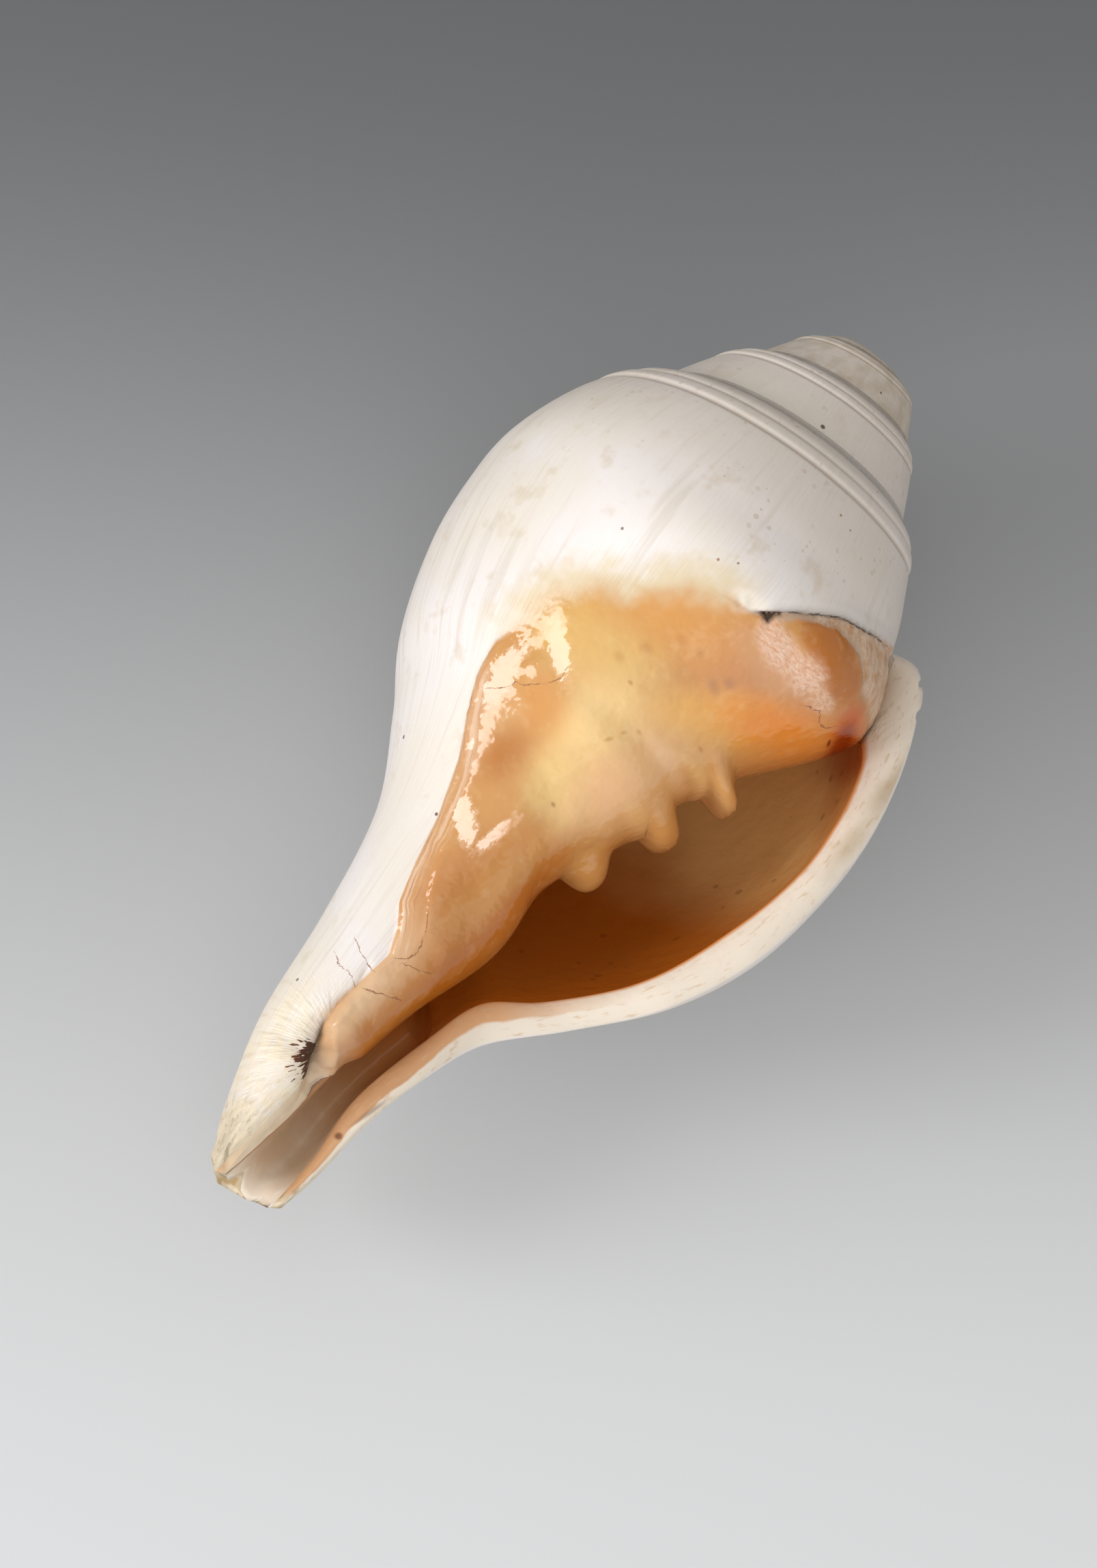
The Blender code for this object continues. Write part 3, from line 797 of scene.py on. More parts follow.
def parted(vector):
    """The three numbers of a vector."""
    node = step(vector.tree, "ShaderNodeSeparateXYZ")
    feed(node.inputs[0], vector)
    return [Signal(vector.tree, socket) for socket in node.outputs]


def named(tree, name, data_type="FLOAT"):
    """An attribute, read in a Geometry Nodes tree."""
    node = step(tree, "GeometryNodeInputNamedAttribute", data_type=data_type)
    node.inputs["Name"].default_value = name
    return Signal(tree, node.outputs[0])


def moved(shape, **inputs):
    """A geometry with its points put at a position, or shifted by an offset."""
    node = step(shape.tree, "GeometryNodeSetPosition")
    feed(node.inputs["Geometry"], shape)
    for name, value in inputs.items():
        feed(node.inputs[name], value)
    return Signal(shape.tree, node.outputs[0])


def coil_tree():
    """Winds the unwound wall round the axis."""
    tree = bpy.data.node_groups.new("coil", "GeometryNodeTree")
    face = tree.interface
    face.new_socket("Wall", in_out="INPUT", socket_type="NodeSocketGeometry")
    for name, _ in COIL_VALUES:
        face.new_socket(name, in_out="INPUT", socket_type="NodeSocketFloat")
    face.new_socket("Material", in_out="INPUT", socket_type="NodeSocketMaterial")
    face.new_socket("Shell", in_out="OUTPUT", socket_type="NodeSocketGeometry")
    given = {socket.name: Signal(tree, socket) for socket in step(tree, "NodeGroupInput").outputs}
    keep = step(tree, "GeometryNodeStoreNamedAttribute", data_type="FLOAT_VECTOR")
    keep.inputs["Name"].default_value = "unwound"
    feed(keep.inputs["Geometry"], given["Wall"])
    feed(keep.inputs["Value"], Signal(tree, step(tree, "GeometryNodeInputPosition").outputs[0]))
    radius, turn, height = parted(named(tree, "unwound", "FLOAT_VECTOR"))
    size = calc("EXPONENT", (turn - turn * turn * given["Doming"]) * given["Growth per turn"])
    angle = turn * (-2.0 * math.pi)
    out = radius * size * MM
    down = height * size
    # Above the worn height the wall is pressed down on to it, with a soft edge.
    past = calc("MINIMUM", (down - given["Worn height"]) / given["Worn edge"], PRESSED_LIMIT)
    soft = calc("LOGARITHM", calc("EXPONENT", past) + 1.0, math.e)
    down = calc("MAXIMUM", soft * given["Worn edge"] + given["Worn height"], down)
    wound = moved(Signal(tree, keep.outputs[0]), Position=joined(
        out * calc("COSINE", angle), out * calc("SINE", angle), down * -MM))
    # The grooves and the cords between them, then the slow ripple of growth.
    at = named(tree, "down")
    lines = joined(turn * given["Ripples per turn"], at * RIPPLE_STRETCH, given["Ripple seed"])
    grain_of_growth = step(tree, "ShaderNodeTexNoise")
    grain_of_growth.inputs["Scale"].default_value = 1.0
    grain_of_growth.inputs["Detail"].default_value = 2.0
    feed(grain_of_growth.inputs["Vector"], lines)
    raised = (Signal(tree, grain_of_growth.outputs[0]) - 0.5) * given["Ripple depth"]
    start = 0.0
    for groove in (given["First groove"], given["Second groove"]):
        off = (at - groove) / given["Groove width"]
        cut = calc("EXPONENT", off * off * -1.0) * given["Groove depth"]
        across = abs((at - (groove + start) * 0.5) / ((groove - start) * 0.5))
        arch = calc("SUBTRACT", 1.0, calc("POWER", across, 3.0))
        raised = raised + calc("MAXIMUM", arch, 0.0) * given["Cord swell"] - cut
        start = groove
    push = step(tree, "ShaderNodeVectorMath", operation="SCALE")
    feed(push.inputs[0], Signal(tree, step(tree, "GeometryNodeInputNormal").outputs[0]))
    feed(push.inputs["Scale"], raised * size * named(tree, "bare") * MM)
    carved = moved(wound, Offset=Signal(tree, push.outputs[0]))
    real = step(tree, "GeometryNodeRealizeInstances")
    feed(real.inputs[0], carved)
    finish = step(tree, "GeometryNodeSetMaterial")
    tree.links.new(real.outputs[0], finish.inputs["Geometry"])
    feed(finish.inputs["Material"], given["Material"])
    feed(step(tree, "NodeGroupOutput").inputs[0], Signal(tree, finish.outputs[0]))
    return tree


def coiled(mesh, material):
    """The wound shell as a plain mesh object, lying as it rests."""
    piece = bpy.data.objects.new("unwound", mesh)
    bpy.context.scene.collection.objects.link(piece)
    modifier = piece.modifiers.new("coil", "NODES")
    modifier.node_group = coil_tree()
    inputs = {item.name: item.identifier for item in modifier.node_group.interface.items_tree
              if item.in_out == "INPUT"}
    for name, value in (*COIL_VALUES, ("Material", material)):
        modifier[inputs[name]] = value
    graph = bpy.context.evaluated_depsgraph_get()
    done = bpy.data.meshes.new_from_object(piece.evaluated_get(graph))
    bpy.data.objects.remove(piece)
    done.transform(Matrix.Translation(COIL_START * MM) @ LAID_DOWN.to_4x4())
    for vertex in done.vertices:
        vertex.co.z = max(vertex.co.z, 0.0)
    done.shade_smooth()
    shell = bpy.data.objects.new("shell_wall", done)
    bpy.context.scene.collection.objects.link(shell)
    return shell


def paint(red, green, blue):
    """Linear colour from the usual 0 to 255 numbers."""
    parts = [c / 255.0 for c in (red, green, blue)]
    return (*(c / 12.92 if c <= 0.04045 else ((c + 0.055) / 1.055) ** 2.4 for c in parts), 1.0)


def attribute(tree, name, output="Fac"):
    """An attribute, read in a material."""
    return Signal(tree, step(tree, "ShaderNodeAttribute", attribute_name=name).outputs[output])


def band(value, low, high, to_low=0.0, to_high=1.0):
    """Smooth step of a value from low to high."""
    tree = tree_of(value)
    node = step(tree, "ShaderNodeMapRange", interpolation_type="SMOOTHSTEP")
    for socket, number in zip(node.inputs, (value, low, high, to_low, to_high)):
        feed(socket, number)
    return Signal(tree, node.outputs[0])


# Where a mix node has its two values and its result, for each kind of value.
MIX_SOCKETS = {"FLOAT": (2, 3, 0), "VECTOR": (4, 5, 1), "RGBA": (6, 7, 2)}


def blend(share, under, over, kind="RGBA", mode="MIX"):
    """One value turning into another by a share; colours unless another kind is named."""
    tree = tree_of(share, under, over)
    node = step(tree, "ShaderNodeMix", data_type=kind, blend_type=mode)
    first, second, result = MIX_SOCKETS[kind]
    for index, value in ((0, share), (first, under), (second, over)):
        feed(node.inputs[index], value)
    return Signal(tree, node.outputs[result])


def layered(under, *layers):
    """Colours laid one over another, each with its share, the last on top."""
    for share, over in layers:
        under = blend(share, under, over)
    return under


def mapped(vector, kind, stretch, shift):
    """A texture node of this kind on a stretched and shifted vector."""
    lay = step(vector.tree, "ShaderNodeMapping")
    lay.inputs["Scale"].default_value = stretch
    lay.inputs["Location"].default_value = shift
    feed(lay.inputs["Vector"], vector)
    node = step(vector.tree, kind)
    vector.tree.links.new(lay.outputs[0], node.inputs["Vector"])
    return node


def grain(vector, scale, detail=3.0, stretch=(1.0, 1.0, 1.0), shift=0.0, rough=0.5):
    """Noise from 0 to 1 on a vector, finer along the axes that stretch more."""
    node = mapped(vector, "ShaderNodeTexNoise", stretch, (shift, shift * 1.7, shift * 0.6))
    node.inputs["Scale"].default_value = scale
    node.inputs["Detail"].default_value = detail
    node.inputs["Roughness"].default_value = rough
    return Signal(vector.tree, node.outputs[0])


def specks(vector, scale, size, shift=0.0):
    """Small round specks, 1 at their middles, at scale to a millimetre."""
    node = mapped(vector, "ShaderNodeTexVoronoi", (1.0, 1.0, 1.0), (shift, -shift, shift))
    node.inputs["Scale"].default_value = scale
    colour = step(vector.tree, "ShaderNodeSeparateColor")
    vector.tree.links.new(node.outputs["Color"], colour.inputs[0])
    own = calc("POWER", Signal(vector.tree, colour.outputs[0]), 3.0) * size
    return band(Signal(vector.tree, node.outputs["Distance"]) - own, 0.0, -0.04)


# What a patch is given, and what kind of socket takes each.
PATCH_INPUTS = (("Place", "Vector"), ("Under", "Color"), ("Stir", "Float"), ("Middle", "Vector"),
                ("Reach", "Vector"), ("Turned", "Float"), ("Softness", "Float"),
                ("Stirring", "Float"), ("Strength", "Float"), ("Colour", "Color"))


def patch_group():
    """One soft-edged stain: an ellipse in the (x, h) of the shell, its edge stirred by noise."""
    tree = bpy.data.node_groups.new("patch", "ShaderNodeTree")
    for name, kind in PATCH_INPUTS:
        tree.interface.new_socket(name, in_out="INPUT", socket_type="NodeSocket" + kind)
    tree.interface.new_socket("Colour", in_out="OUTPUT", socket_type="NodeSocketColor")
    given = {socket.name: Signal(tree, socket) for socket in step(tree, "NodeGroupInput").outputs}
    away = step(tree, "ShaderNodeVectorMath", operation="SUBTRACT")
    turned = step(tree, "ShaderNodeVectorRotate", rotation_type="Y_AXIS")
    scaled = step(tree, "ShaderNodeVectorMath", operation="DIVIDE")
    length = step(tree, "ShaderNodeVectorMath", operation="LENGTH")
    feed(away.inputs[0], given["Place"])
    feed(away.inputs[1], given["Middle"])
    tree.links.new(away.outputs[0], turned.inputs["Vector"])
    feed(turned.inputs["Angle"], given["Turned"])
    tree.links.new(turned.outputs[0], scaled.inputs[0])
    feed(scaled.inputs[1], given["Reach"])
    tree.links.new(scaled.outputs[0], length.inputs[0])
    stirred = (given["Stir"] - 0.5) * given["Stirring"] + Signal(tree, length.outputs["Value"])
    softness = given["Softness"]
    share = band(stirred, softness + 1.0, calc("SUBTRACT", 1.0, softness)) * given["Strength"]
    feed(step(tree, "NodeGroupOutput").inputs[0], blend(share, given["Under"], given["Colour"]))
    return tree


def patched(group, place, stir, under, patches):
    """Lays patches over a colour: (x, h) or (x, y, h), reach along the same, degrees turned,
    softness, stirring, strength, colour."""
    for middle, reach, degrees, *rest in patches:
        if len(middle) == 2:
            middle, reach = (middle[0], 0.0, middle[1]), (reach[0], EVERY_DEPTH, reach[1])
        node = step(place.tree, "ShaderNodeGroup", node_tree=group)
        values = (place, under, stir, middle, reach, math.radians(degrees), *rest)
        for (name, _), value in zip(PATCH_INPUTS, values):
            feed(node.inputs[name], value)
        under = Signal(place.tree, node.outputs[0])
    return under


# Pits and specks of the bare wall: (x, y, h), radius, colour.
PITS = (
    ((0.3, -20.8, 30.1), 0.38, (70, 48, 32)),
    ((3.7, -11.2, 16.9), 0.22, (110, 86, 60)),
    ((12.8, -19.8, 32.4), 0.2, (100, 76, 56)),
    ((10.8, -27.2, 41.0), 0.22, (150, 116, 78)),
    ((13.3, -26.3, 41.6), 0.2, (150, 116, 78)),
    ((-12.8, -30.8, 65.3), 0.25, (120, 98, 80)),
    ((1.0, -34.6, 60.7), 0.22, (150, 90, 76)),
    ((3.6, -34.7, 59.2), 0.2, (130, 110, 96)),
    ((-7.1, -5.4, 143.4), 0.26, (80, 56, 40)),
    ((-18.3, -2.5, 103.9), 0.3, (66, 48, 36)),
    ((-7.0, -12.2, 112.1), 0.26, (84, 60, 44)),
)

# Dirt in the seam and the two grooves: knot place, half width, strength.
GROOVE_DIRT = ((0.0, 0.16, 0.55), (GROOVES[0], 0.07, 0.5), (GROOVES[1], 0.07, 0.5))
BLACK, WHITE = (0, 0, 0), (255, 255, 255)
GLAZE_TINT = (0.95, 0.94, 0.84, 1.0)  # linear
CAVITY_ROUGHNESS = 0.22
EVERY_DEPTH = 1e5  # the reach of a patch along y, into the face

# Colours of the callus: (x, h), (reach in x, in h), degrees turned, softness, stirring, strength,
# colour. Turning is from +x towards the canal.
CALLUS_PATCHES = (
    # The pale yellow middle of the pad, thick enough to hide what is under it.
    ((3.5, 88.0), (8.5, 8.5), 20, 0.8, 0.9, 0.95, (242, 206, 150)),
    ((4.5, 98.0), (5.0, 5.0), 0, 0.7, 0.8, 0.9, (232, 196, 134)),
    ((-4.0, 79.0), (8.0, 5.0), -30, 0.8, 0.9, 0.8, (226, 186, 118)),
    # Ochre where it thins over the whorl, deepest along the top.
    ((-9.5, 79.0), (5.5, 4.5), -30, 0.8, 0.8, 0.6, (222, 176, 104)),
    ((2.0, 70.5), (12.0, 4.6), -16, 0.8, 0.8, 0.85, (218, 154, 84)),
    # Darker at its left shoulder, with a brown stain.
    ((-7.5, 94.0), (4.0, 5.0), 0, 0.8, 0.6, 0.6, (214, 164, 116)),
    ((-4.8, 91.0), (3.0, 4.5), -30, 0.8, 0.6, 0.7, (210, 142, 70)),
    # Pinker towards the folds and the lip's corner.
    ((12.5, 84.5), (5.0, 9.0), 35, 0.8, 0.8, 0.7, (230, 182, 132)),
    ((10.5, 93.0), (4.0, 7.0), 30, 0.8, 0.6, 0.7, (238, 186, 144)),
    ((22.0, 81.6), (5.5, 1.3), 0, 0.8, 0.2, 0.8, (246, 198, 140)),
    ((18.0, 92.2), (5.0, 1.6), 0, 0.8, 0.2, 0.7, (238, 186, 126)),
    ((14.0, 84.6), (4.0, 1.2), 0, 0.8, 0.4, 0.5, (244, 200, 166)),
    ((18.5, 69.0), (10.0, 6.0), -25, 0.8, 0.7, 0.8, (206, 142, 100)),
    ((16.0, 75.5), (9.0, 3.0), -35, 0.8, 0.5, 0.75, (240, 182, 96)),
    # The orange band above the mouth.
    ((25.0, 69.3), (10.0, 2.8), -30, 0.8, 0.4, 0.95, (236, 144, 62)),
    # The amber pad.
    ((17.0, 65.5), (6.5, 2.8), -8, 0.7, 0.6, 0.8, (214, 160, 122)),
    ((23.2, 58.6), (7.6, 3.6), 8, 0.3, 0.35, 1.0, (186, 112, 44)),
    # Warmer down the columella.
    ((-5.0, 99.6), (2.6, 4.2), 15, 0.9, 0.5, 0.9, (188, 120, 56)),
    ((6.0, 106.5), (3.0, 3.0), 0, 0.8, 0.5, 0.8, (212, 146, 76)),
    ((2.0, 117.0), (4.0, 9.0), 16, 0.9, 0.5, 0.8, (196, 130, 74)),
    ((6.5, 117.0), (3.0, 9.0), 6, 0.9, 0.5, 0.8, (212, 154, 92)),
    ((5.5, 134.0), (4.5, 14.0), 0, 0.9, 0.5, 0.85, (174, 106, 40)),
    ((10.3, 114.0), (2.2, 11.0), 0, 0.7, 0.4, 0.85, (186, 106, 40)),
    ((9.0, 130.0), (3.0, 9.0), 10, 0.8, 0.4, 0.9, (178, 100, 28)),
    ((7.0, 146.0), (3.2, 10.0), 0, 0.8, 0.4, 0.95, (182, 108, 36)),
    ((4.6, 131.0), (2.2, 8.0), 0, 0.8, 0.5, 0.7, (206, 142, 82)),
    # The pearly rim of the canal.
    ((4.4, 161.0), (3.4, 12.0), 0, 0.6, 0.5, 0.85, (220, 206, 190)),
    # The pinkish edge of the ledge.
    ((-12.0, 97.0), (2.2, 8.0), -32, 0.7, 0.5, 0.85, (214, 166, 130)),
    ((-5.6, 115.0), (1.9, 13.0), -20, 0.7, 0.5, 0.85, (208, 160, 122)),
    ((1.5, 134.0), (3.0, 8.0), 0, 0.7, 0.6, 0.75, (224, 184, 150)),
    ((1.6, 142.0), (1.8, 7.0), 0, 0.7, 0.5, 0.8, (222, 188, 158)),
    # Small mauve and brown spots under the glaze.
    ((12.4, 73.4), (1.1, 0.7), 20, 0.9, 0.5, 0.4, (160, 112, 92)),
    ((13.8, 71.6), (0.8, 0.6), 0, 0.9, 0.5, 0.4, (164, 116, 96)),
    ((5.0, 100.3), (0.4, 0.3), 0, 0.6, 0.6, 0.6, (156, 100, 40)),
    ((5.2, 88.8), (0.7, 0.25), -50, 0.7, 1.4, 0.5, (196, 142, 70)),
    ((6.4, 86.8), (0.5, 0.25), -50, 0.7, 1.4, 0.45, (196, 142, 70)),
    ((8.2, 85.2), (0.4, 0.25), 0, 0.7, 1.4, 0.5, (190, 134, 66)),
    ((16.9, 79.9), (0.4, 0.25), 0, 0.7, 1.0, 0.5, (186, 122, 56)),
    ((7.6, 71.6), (0.7, 0.6), 0, 0.9, 0.6, 0.5, (184, 118, 54)),
    ((4.4, 72.2), (0.8, 0.6), 0, 0.9, 0.6, 0.4, (190, 126, 60)),
    ((1.1, 76.3), (0.9, 0.7), 0, 0.9, 0.6, 0.5, (196, 132, 66)),
    ((-1.2, 79.6), (0.8, 0.6), 0, 0.9, 0.6, 0.4, (200, 138, 72)),
    ((2.6, 81.2), (0.4, 0.25), 0, 0.6, 1.0, 0.5, (176, 118, 60)),
)

# The deep red corner behind the lip.
RED_CORNER = (
    ((32.4, 61.6), (2.4, 3.0), 12, 0.8, 0.5, 1.0, (196, 90, 20)),
    ((32.9, 62.6), (1.6, 2.0), 12, 0.6, 0.4, 1.0, (140, 44, 0)),
    ((31.2, 64.6), (0.3, 0.3), 0, 0.6, 0.0, 0.9, (96, 36, 10)),
)
# Facets of the glaze, worn flat, and whitened with a painted sheen: a patch as above, its colour
# the share of painted white, then the slopes of y in x and in h.
FACETS_AND_SHEEN = (
    (((-12.2, 90.6), (1.7, 5.0), -14, 0.35, 2.2, 0.8, (150, 150, 150)), (-0.48, 0.56)),
    (((-8.6, 84.0), (1.2, 5.2), -52, 0.45, 2.6, 0.75, (140, 140, 140)), (-0.48, 0.56)),
    (((-2.7, 110.6), (1.5, 3.8), -45, 0.35, 2.2, 0.8, (150, 150, 150)), (-0.45, 0.53)),
    (((1.5, 109.4), (0.9, 4.4), 8, 0.35, 2.2, 0.8, (150, 150, 150)), (-0.45, 0.53)),
)
# Stains of the lip's edge, the curl of pale glaze beside the hole, and the frosty band, whose pale
# colour is a painted highlight.
LIP_STAINS = (
    ((12.4, 157.1), (0.5, 0.5), 0, 0.6, 0.8, 0.85, (104, 54, 26)),
    ((13.7, 151.4), (0.35, 2.6), 15, 0.7, 0.8, 0.6, (126, 96, 64)),
    ((42.8, 62.0), (1.4, 5.0), 0, 0.9, 1.4, 0.6, (176, 150, 112)),
    ((43.5, 75.0), (1.2, 5.0), 0, 0.9, 1.4, 0.5, (184, 158, 120)),
)
CURL = (
    ((8.4, 61.9), (3.0, 1.3), -10, 0.4, 0.7, 0.9, (238, 228, 214)),
    ((7.4, 63.6), (2.0, 0.3), -10, 0.7, 0.7, 0.35, (186, 142, 100)),
)
FROSTED_AND_HIGHLIGHT = (
    ((15.0, 63.2), (2.6, 2.3), 0, 0.6, 1.8, 1.0, WHITE),
    ((21.0, 63.2), (4.6, 2.0), -4, 0.6, 1.8, 1.0, WHITE),
    ((25.6, 63.2), (2.0, 1.2), 0, 0.6, 1.8, 0.6, WHITE),
)


def bare_wall(at):
    """The bare wall: chalky ivory, its growth drawn in faint lines, stained in the grooves, with
    painted shade on the shoulder, on the spire and over the gap.
    """
    lines = grain(at.unrolled, 1.0, 2.0, (1.0, 0.05, 1.0), 3.0, 0.6)
    stain = grain(at.place, 0.16, 3.0, shift=5.0, rough=0.65)
    freckled = band(at.h, 60.0, 46.0) * band(grain(at.place, 0.09, 2.0, shift=8.0), 0.42, 0.62)
    # Older whorls browner: partly wear, partly painted shade on the spire.
    old_wear_and_shade = band(at.growth, -1.4, -3.0, 0.0, 0.75) * band(at.fine, 0.3, 0.7, 0.5, 1.0)
    wall = layered(
        blend(band(at.cloud, 0.35, 0.65), (233, 226, 223), (229, 221, 210)),
        (band(lines, 0.52, 0.72, 0.0, 0.4), (205, 194, 180)),
        (band(stain, 0.56, 0.72, 0.0, 0.45), (206, 188, 160)),
        # Ochre freckles on the shoulder. Painted shade greys the shoulder and the spire, turned
        # from the light; the worn apex and the older whorls are browner, partly worn and partly
        # painted shade.
        (specks(at.place, 0.8, 0.42) * freckled * 0.55, (176, 138, 92)),
        (band(at.h, 56.0, 44.0, 0.0, 0.6), (206, 196, 186)),
        (old_wear_and_shade, (176, 160, 138)),
        # Dirt lies in the seam and the two grooves.
        *((band(abs(at.down - groove), width, 0.0, 0.0, strength) * at.bare, (150, 132, 112))
          for groove, width, strength in GROOVE_DIRT),
    )
    wall = patched(at.group, at.place, at.fine, wall,
                   [(middle, (radius,) * 3, 0.0, 0.35, 1.0, 0.9, colour)
                    for middle, radius, colour in PITS])
    # Painted shadow on the whorl where it rolls over the gap.
    painted_shadow_over_gap = band(at.gap, -1.7, -0.1) * band(at.x, 9.5, 13.0) * at.front
    halo = band(at.fine * 5.0 + at.edge, -4.6, 1.5) * at.top * band(at.x, 11.0, 5.0, 0.0, 0.85)
    eroded = band(at.fine * 10.0 + at.h, 162.0, 173.0)
    etched = band(grain(at.place, 0.9, 3.0, (1.0, 1.0, 0.45), 13.0, 0.65), 0.54, 0.62)
    etched = etched * band(at.fine * 8.0 + at.h, 163.0, 170.0)
    streak = grain(at.rays, 1.7, 3.0, (1.0, 1.6, 1.0), 2.0, 0.55)
    reached = band(at.far_off, 11.5, 3.0) * band(at.bearing, 0.05, 0.45)
    reached = reached * band(at.bearing, 1.65, 1.3)
    streak = band(reached * 0.5 + streak, 0.79, 0.83) * band(reached, 0.02, 0.1)
    return layered(
        wall,
        (painted_shadow_over_gap * 0.5, (150, 142, 132)),
        # A pale yellow halo where the glaze feathers out over the whorl.
        (halo, (216, 196, 156)),
        # The eroded tip of the canal.
        (eroded * 0.75, (190, 172, 138)),
        (etched * 0.8, (104, 84, 56)),
        # The hollow beside the slit is cream, with brown streaks running into it.
        (at.fasciole * band(at.fine, 0.3, 0.7, 0.2, 0.7), (234, 218, 188)),
        (band(at.striae, 0.5, 0.68, 0.0, 0.28) * at.fasciole, (196, 170, 130)),
        (streak * at.front, blend(band(at.far_off, 4.0, 9.0), (56, 24, 4), (112, 56, 14))),
    )


def callus(at):
    """The glaze laid over the columella and the last whorl."""
    glaze = patched(at.group, at.place, at.stir, (206, 150, 92), CALLUS_PATCHES)
    glaze = blend(band(at.fine, 0.5, 0.8, 0.0, 0.14), glaze, (240, 214, 170))
    glaze = blend(1.0, glaze, GLAZE_TINT, mode="MULTIPLY")
    # Frosted glaze beside the amber pad, given a painted pinkish-white highlight and sparkle, and
    # chipped glaze beyond it, pale and dull.
    frost = at.frosted * band(grain(at.place, 1.1, 2.0, (0.7, 1.0, 2.0), 5.0, 0.6), 0.3, 0.7)
    below_gap = band(at.fine * 1.4 + at.gap, 2.2, 1.2) * band(at.x, 11.5, 14.5)
    flaked = grain(at.place, 0.5, 3.0, (1.0, 1.0, 0.7), 3.0, 0.65)
    glaze = layered(
        glaze,
        (at.brink * 0.4, (190, 116, 44)),
        # The ledge shows the ends of its layers as fine lines, pale and dark.
        (at.layer_ends * 0.5, (236, 208, 182)),
        (band(grain(at.layers, 1.5, 3.0, shift=9.0, rough=0.6), 0.58, 0.66) * at.on_ledge * 0.5,
         (170, 112, 70)),
        # Painted highlight: the frosty band is coloured pinkish white, with white sparkle.
        (at.frosted * 0.65, (222, 174, 144)),
        (frost * 0.5, (252, 226, 206)),
        (below_gap * 0.7, (186, 168, 152)),
        (at.chips * 0.85, blend(band(flaked, 0.4, 0.7), (208, 182, 158), (194, 150, 112))),
    )
    return patched(at.group, at.place, at.stir, glaze, RED_CORNER)


def cavity(at):
    """The glaze inside: orange behind the lip, brown further back, pearly in the canal."""
    at_depth = (at.cloud - 0.5) * 0.16 + at.depth
    return layered(
        blend(band(at_depth, 0.0, 0.1), (216, 146, 78), (255, 214, 140)),
        (band(at.cloud * 16.0 + at.h, 82.0, 106.0), (196, 110, 30)),
        (band(at_depth, 0.2, 0.5), (190, 88, 10)),
        (band(at_depth, 0.5, 0.95), (150, 60, 2)),
        (specks(at.place, 0.35, 0.3, 4.0) * 0.35, (110, 60, 20)),
        (band(at.stir * 8.0 + at.h, 132.0, 152.0), (184, 132, 82)),
        (band(at.stir * 8.0 + at.h, 148.0, 164.0), (196, 170, 142)),
        (band(at.stir * 6.0 + at.h, 166.0, 174.0), (232, 220, 204)),
        (band(at.h, 66.0, 60.0) * band(at.depth, 0.12, 0.02) * 0.9, (176, 66, 8)),
    )


def lip_rim(at):
    """The lip's edge: white outside, peach inside, with an orange line at the inner corner."""
    inner_part = (at.stir - 0.5) * 0.3 + at.inside + band(at.down, 8.2, 9.4, 0.0, 0.28)
    peach = blend(band(at.down, 8.5, 9.5), (206, 156, 112), (196, 148, 106))
    weather = grain(joined(at.down * 3.0, at.inside * 5.0), 1.4, 3.0, rough=0.65)
    rim = layered(
        (228, 216, 200),
        (band(inner_part, 0.44, 0.54) * band(at.down, 6.0, 8.0), peach),
        (band(weather, 0.54, 0.7, 0.0, 0.6), (202, 172, 134)),
    )
    worn_end = blend(band(at.fine, 0.4, 0.62), (216, 202, 176), (172, 144, 100))
    return layered(
        patched(at.group, at.place, at.stir, rim, LIP_STAINS),
        (band(at.inside, 0.86, 0.98) * band(at.h, 128.0, 108.0, 0.25, 1.0), (206, 134, 74)),
        (band(at.fine * 6.0 + at.h, 169.0, 173.0), worn_end),
    )


def glaze_relief(at):
    """Slow waves in the glaze, worn rough beside the amber pad and crumbling beyond it."""
    waves = grain(at.place, 0.35, 2.0, shift=9.0)
    sand = grain(at.place, 1.6, 2.0, (0.7, 1.0, 2.2), 5.0, 0.7) - 0.5
    crumbs = grain(at.place, 0.9, 2.0, (1.0, 1.0, 0.5), 14.0) - 0.5
    return (waves - 0.5) * 0.25 + sand * at.frosted * 0.2 + crumbs * at.chips * 0.5


def wall_relief(at):
    """Growth lines outside, and the ribs that run into the slit."""
    fine_lines = grain(at.unrolled, 3.2, 2.0, (1.0, 0.06, 1.0), 7.0, 0.6)
    ribbed = at.fasciole * at.front * band(at.left_of, 2.5, 5.0)
    return (fine_lines - 0.5) * 0.1 + (at.striae - 0.5) * ribbed * 0.35


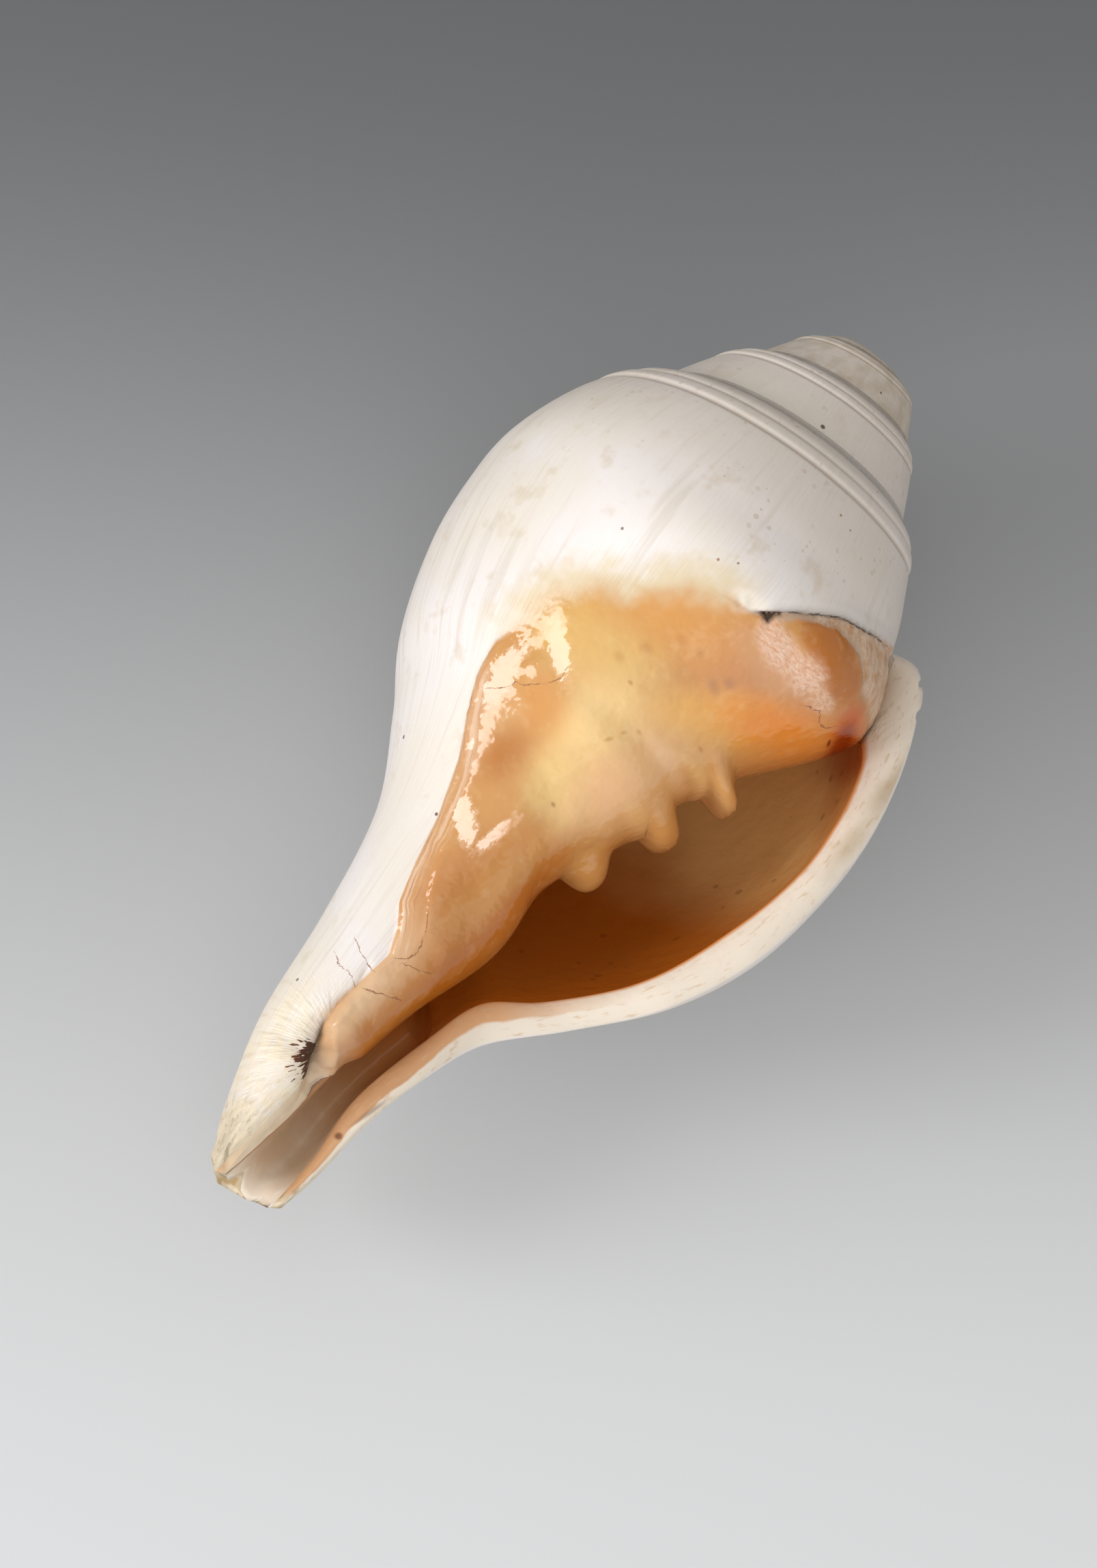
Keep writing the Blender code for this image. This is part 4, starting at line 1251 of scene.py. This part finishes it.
def signals(tree):
    """What the colours and the relief of the shell are worked out from."""
    at = SimpleNamespace(place=attribute(tree, "shell_place", "Vector"), group=patch_group())
    for name in ("growth", "down", "inside", "depth", "edge", "crevice", "bare", "gap", "front",
                 "pad", "brink", "crack", "crack_near"):
        setattr(at, name, attribute(tree, name))
    at.x, _, at.h = parted(at.place)
    at.unrolled = joined(at.growth * 100.0, at.down * 8.0)
    at.cloud = grain(at.place, 0.055, 2.0)
    at.fine = grain(at.place, 0.45, 2.0, shift=11.0)
    at.stir = grain(at.place, 0.22, 2.0, shift=2.0)
    at.grit = grain(at.place, 1.1, 3.0, (1.0, 1.0, 0.6), 21.0, 0.7)
    # The hollow beside the slit, in distance and bearing from the streaks' focus.
    at.fasciole = band(at.h, 136.0, 150.0)
    at.left_of = calc("SUBTRACT", STREAK_FOCUS[0], at.x)
    below = at.h - STREAK_FOCUS[1]
    at.far_off = calc("SQRT", at.left_of * at.left_of + below * below)
    at.bearing = calc("ARCTAN2", below, at.left_of)
    at.rays = joined(at.bearing * 9.0, at.far_off * 0.16)
    at.striae = grain(at.rays, 1.5, 2.0, rough=0.6)
    # The callus: where it feathers out, its ledge, the frosty glaze and its painted highlight, and
    # the chipped glaze.
    at.top = band(at.h, 90.0, 80.0)
    at.layers = joined((at.stir - 0.5) * 1.6 + at.edge, at.h * 0.045)
    at.on_ledge = band(at.edge, 3.6, 2.0) * band(at.h, 89.0, 93.0) * band(at.h, 136.0, 128.0)
    at.layer_ends = band(grain(at.layers, 1.1, 3.0, shift=4.0, rough=0.6), 0.5, 0.62) * at.on_ledge
    at.frosted = patched(at.group, at.place, at.stir, BLACK, FROSTED_AND_HIGHLIGHT)
    at.chips = band(at.fine * 1.6 + at.pad, 1.0, 0.4) * band(at.h, 58.5, 56.0)
    at.chips = at.chips * band(at.x, 14.0, 18.0)
    return at


def shell_material():
    material = bpy.data.materials.new("shell wall")
    material.use_nodes = True
    tree = material.node_tree
    surface = tree.nodes["Principled BSDF"]
    at = signals(tree)
    soft = at.top * band(at.x, 12.0, 6.0, 0.12, 2.6) + 0.12
    glazed = band((at.stir - 0.5) * soft * 2.0 + at.edge, soft * -1.0, soft)
    within = band(at.inside, 0.97, 1.0)
    mouth = blend(within, lip_rim(at), cavity(at))
    # Painted sheen: the glaze is whitened on the facets where it catches the light.
    painted_sheen = patched(at.group, at.place, at.grit, BLACK, [patch for patch, _ in FACETS_AND_SHEEN])
    colour = layered(
        blend(glazed, bare_wall(at), callus(at)),
        (band(at.inside, 0.0, 0.08), mouth),
        (painted_sheen * at.front, (244, 224, 206)),
    )
    colour = patched(at.group, at.place, at.stir, colour, CURL)
    # Cracks wander a little and break off.
    wander = (grain(at.place, 0.9, 2.0, shift=17.0, rough=0.7) - 0.5) * 0.9
    broken = band(grain(at.place, 0.7, 2.0, shift=6.0, rough=0.7), 0.36, 0.5, 0.15, 1.0)
    cracked = band(abs(at.crack + wander), 0.13, 0.03) * broken * at.crack_near
    cleft = band(abs(at.gap + wander * 0.5), 0.22, 0.05) * band(at.x, 11.5, 13.0)
    cleft = cleft * band(at.fine, 0.36, 0.52) * at.front
    colour = layered(
        colour,
        (cracked * 0.8, (136, 82, 44)),
        (at.crevice, (74, 54, 38)),
        (cleft * 0.8, (78, 60, 46)),
    )
    feed(surface.inputs["Base Color"], colour)
    # Chalky outside, glassy on the callus and inside, dull in the crevices, cracks and chips.
    rough = blend(glazed, band(at.cloud, 0.35, 0.7, 0.36, 0.5),
                  band(at.fine, 0.3, 0.7, 0.06, 0.16), "FLOAT")
    rough = blend(within, rough, CAVITY_ROUGHNESS, "FLOAT")
    rough = rough + at.crevice * 0.5 + cracked * 0.5 + at.chips * glazed * 0.3
    feed(surface.inputs["Roughness"], rough)
    relief_share = calc("MAXIMUM", glazed, band(at.inside, 0.3, 0.9))
    bumped = step(tree, "ShaderNodeBump")
    bumped.inputs["Distance"].default_value = MM
    feed(bumped.inputs["Height"], blend(relief_share, wall_relief(at), glaze_relief(at), "FLOAT"))
    # The glaze lies flat on each facet.
    facing = Signal(tree, bumped.outputs[0])
    for patch, (slope_x, slope_h) in FACETS_AND_SHEEN:
        flat = patched(at.group, at.place, at.grit, BLACK, [(*patch[:-1], WHITE)]) * at.front
        outwards = (LAID_DOWN @ Vector((slope_x, -1.0, -slope_h))).normalized()
        facing = blend(flat, facing, outwards, "VECTOR")
    feed(surface.inputs["Normal"], facing)
    return material


def table_material():
    """Pale grey, with painted shade darkening one end as light falls off on a studio sweep."""
    material = bpy.data.materials.new("pale table")
    material.use_nodes = True
    tree = material.node_tree
    surface = tree.nodes["Principled BSDF"]
    lay = step(tree, "ShaderNodeMapping")
    lay.inputs["Rotation"].default_value = (0.0, 0.0, -SWEEP_TURN)
    tree.links.new(step(tree, "ShaderNodeTexCoord").outputs["Object"], lay.inputs["Vector"])
    along_painted_shade = parted(Signal(tree, lay.outputs[0]))[0]
    feed(surface.inputs["Base Color"], blend(band(along_painted_shade, *SWEEP), PALE, SHADE_GREY))
    surface.inputs["Roughness"].default_value = 0.85
    surface.inputs["Specular IOR Level"].default_value = 0.2
    return material


def stage():
    """Table, lights and camera."""
    scene = bpy.context.scene
    mesh = bpy.data.meshes.new("table")
    side = TABLE_HALF
    corners = [(-side, -side, 0), (side, -side, 0), (side, side, 0), (-side, side, 0)]
    mesh.from_pydata(corners, [], [(0, 1, 2, 3)])
    table = bpy.data.objects.new("table", mesh)
    scene.collection.objects.link(table)
    mesh.materials.append(table_material())
    for name, place, size, power in LIGHTS:
        light = bpy.data.lights.new(name, "AREA")
        light.shape = "RECTANGLE"
        light.size, light.size_y = size
        light.energy = power
        lamp = bpy.data.objects.new(name, light)
        lamp.location = place
        lamp.rotation_euler = (Vector(place) - AIM).to_track_quat("Z", "Y").to_euler()
        scene.collection.objects.link(lamp)
    world = bpy.data.worlds.new("room")
    world.use_nodes = True
    sky = world.node_tree.nodes["Background"]
    sky.inputs["Color"].default_value = paint(*ROOM_COLOUR)
    sky.inputs["Strength"].default_value = ROOM
    scene.world = world
    lens = bpy.data.cameras.new("camera")
    lens.sensor_fit = "HORIZONTAL"
    lens.sensor_width = SENSOR
    lens.lens = FOCAL
    lens.clip_start = 0.05
    lens.clip_end = 20.0
    camera = bpy.data.objects.new("camera", lens)
    camera.location = CAMERA_AT
    camera.rotation_euler = [math.radians(degrees) for degrees in CAMERA_TURNED]
    scene.collection.objects.link(camera)
    scene.camera = camera
    scene.view_settings.view_transform = "Standard"


stage()
shell = coiled(wall_mesh(draw_wall()), shell_material())
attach(shell, "root")
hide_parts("shell")
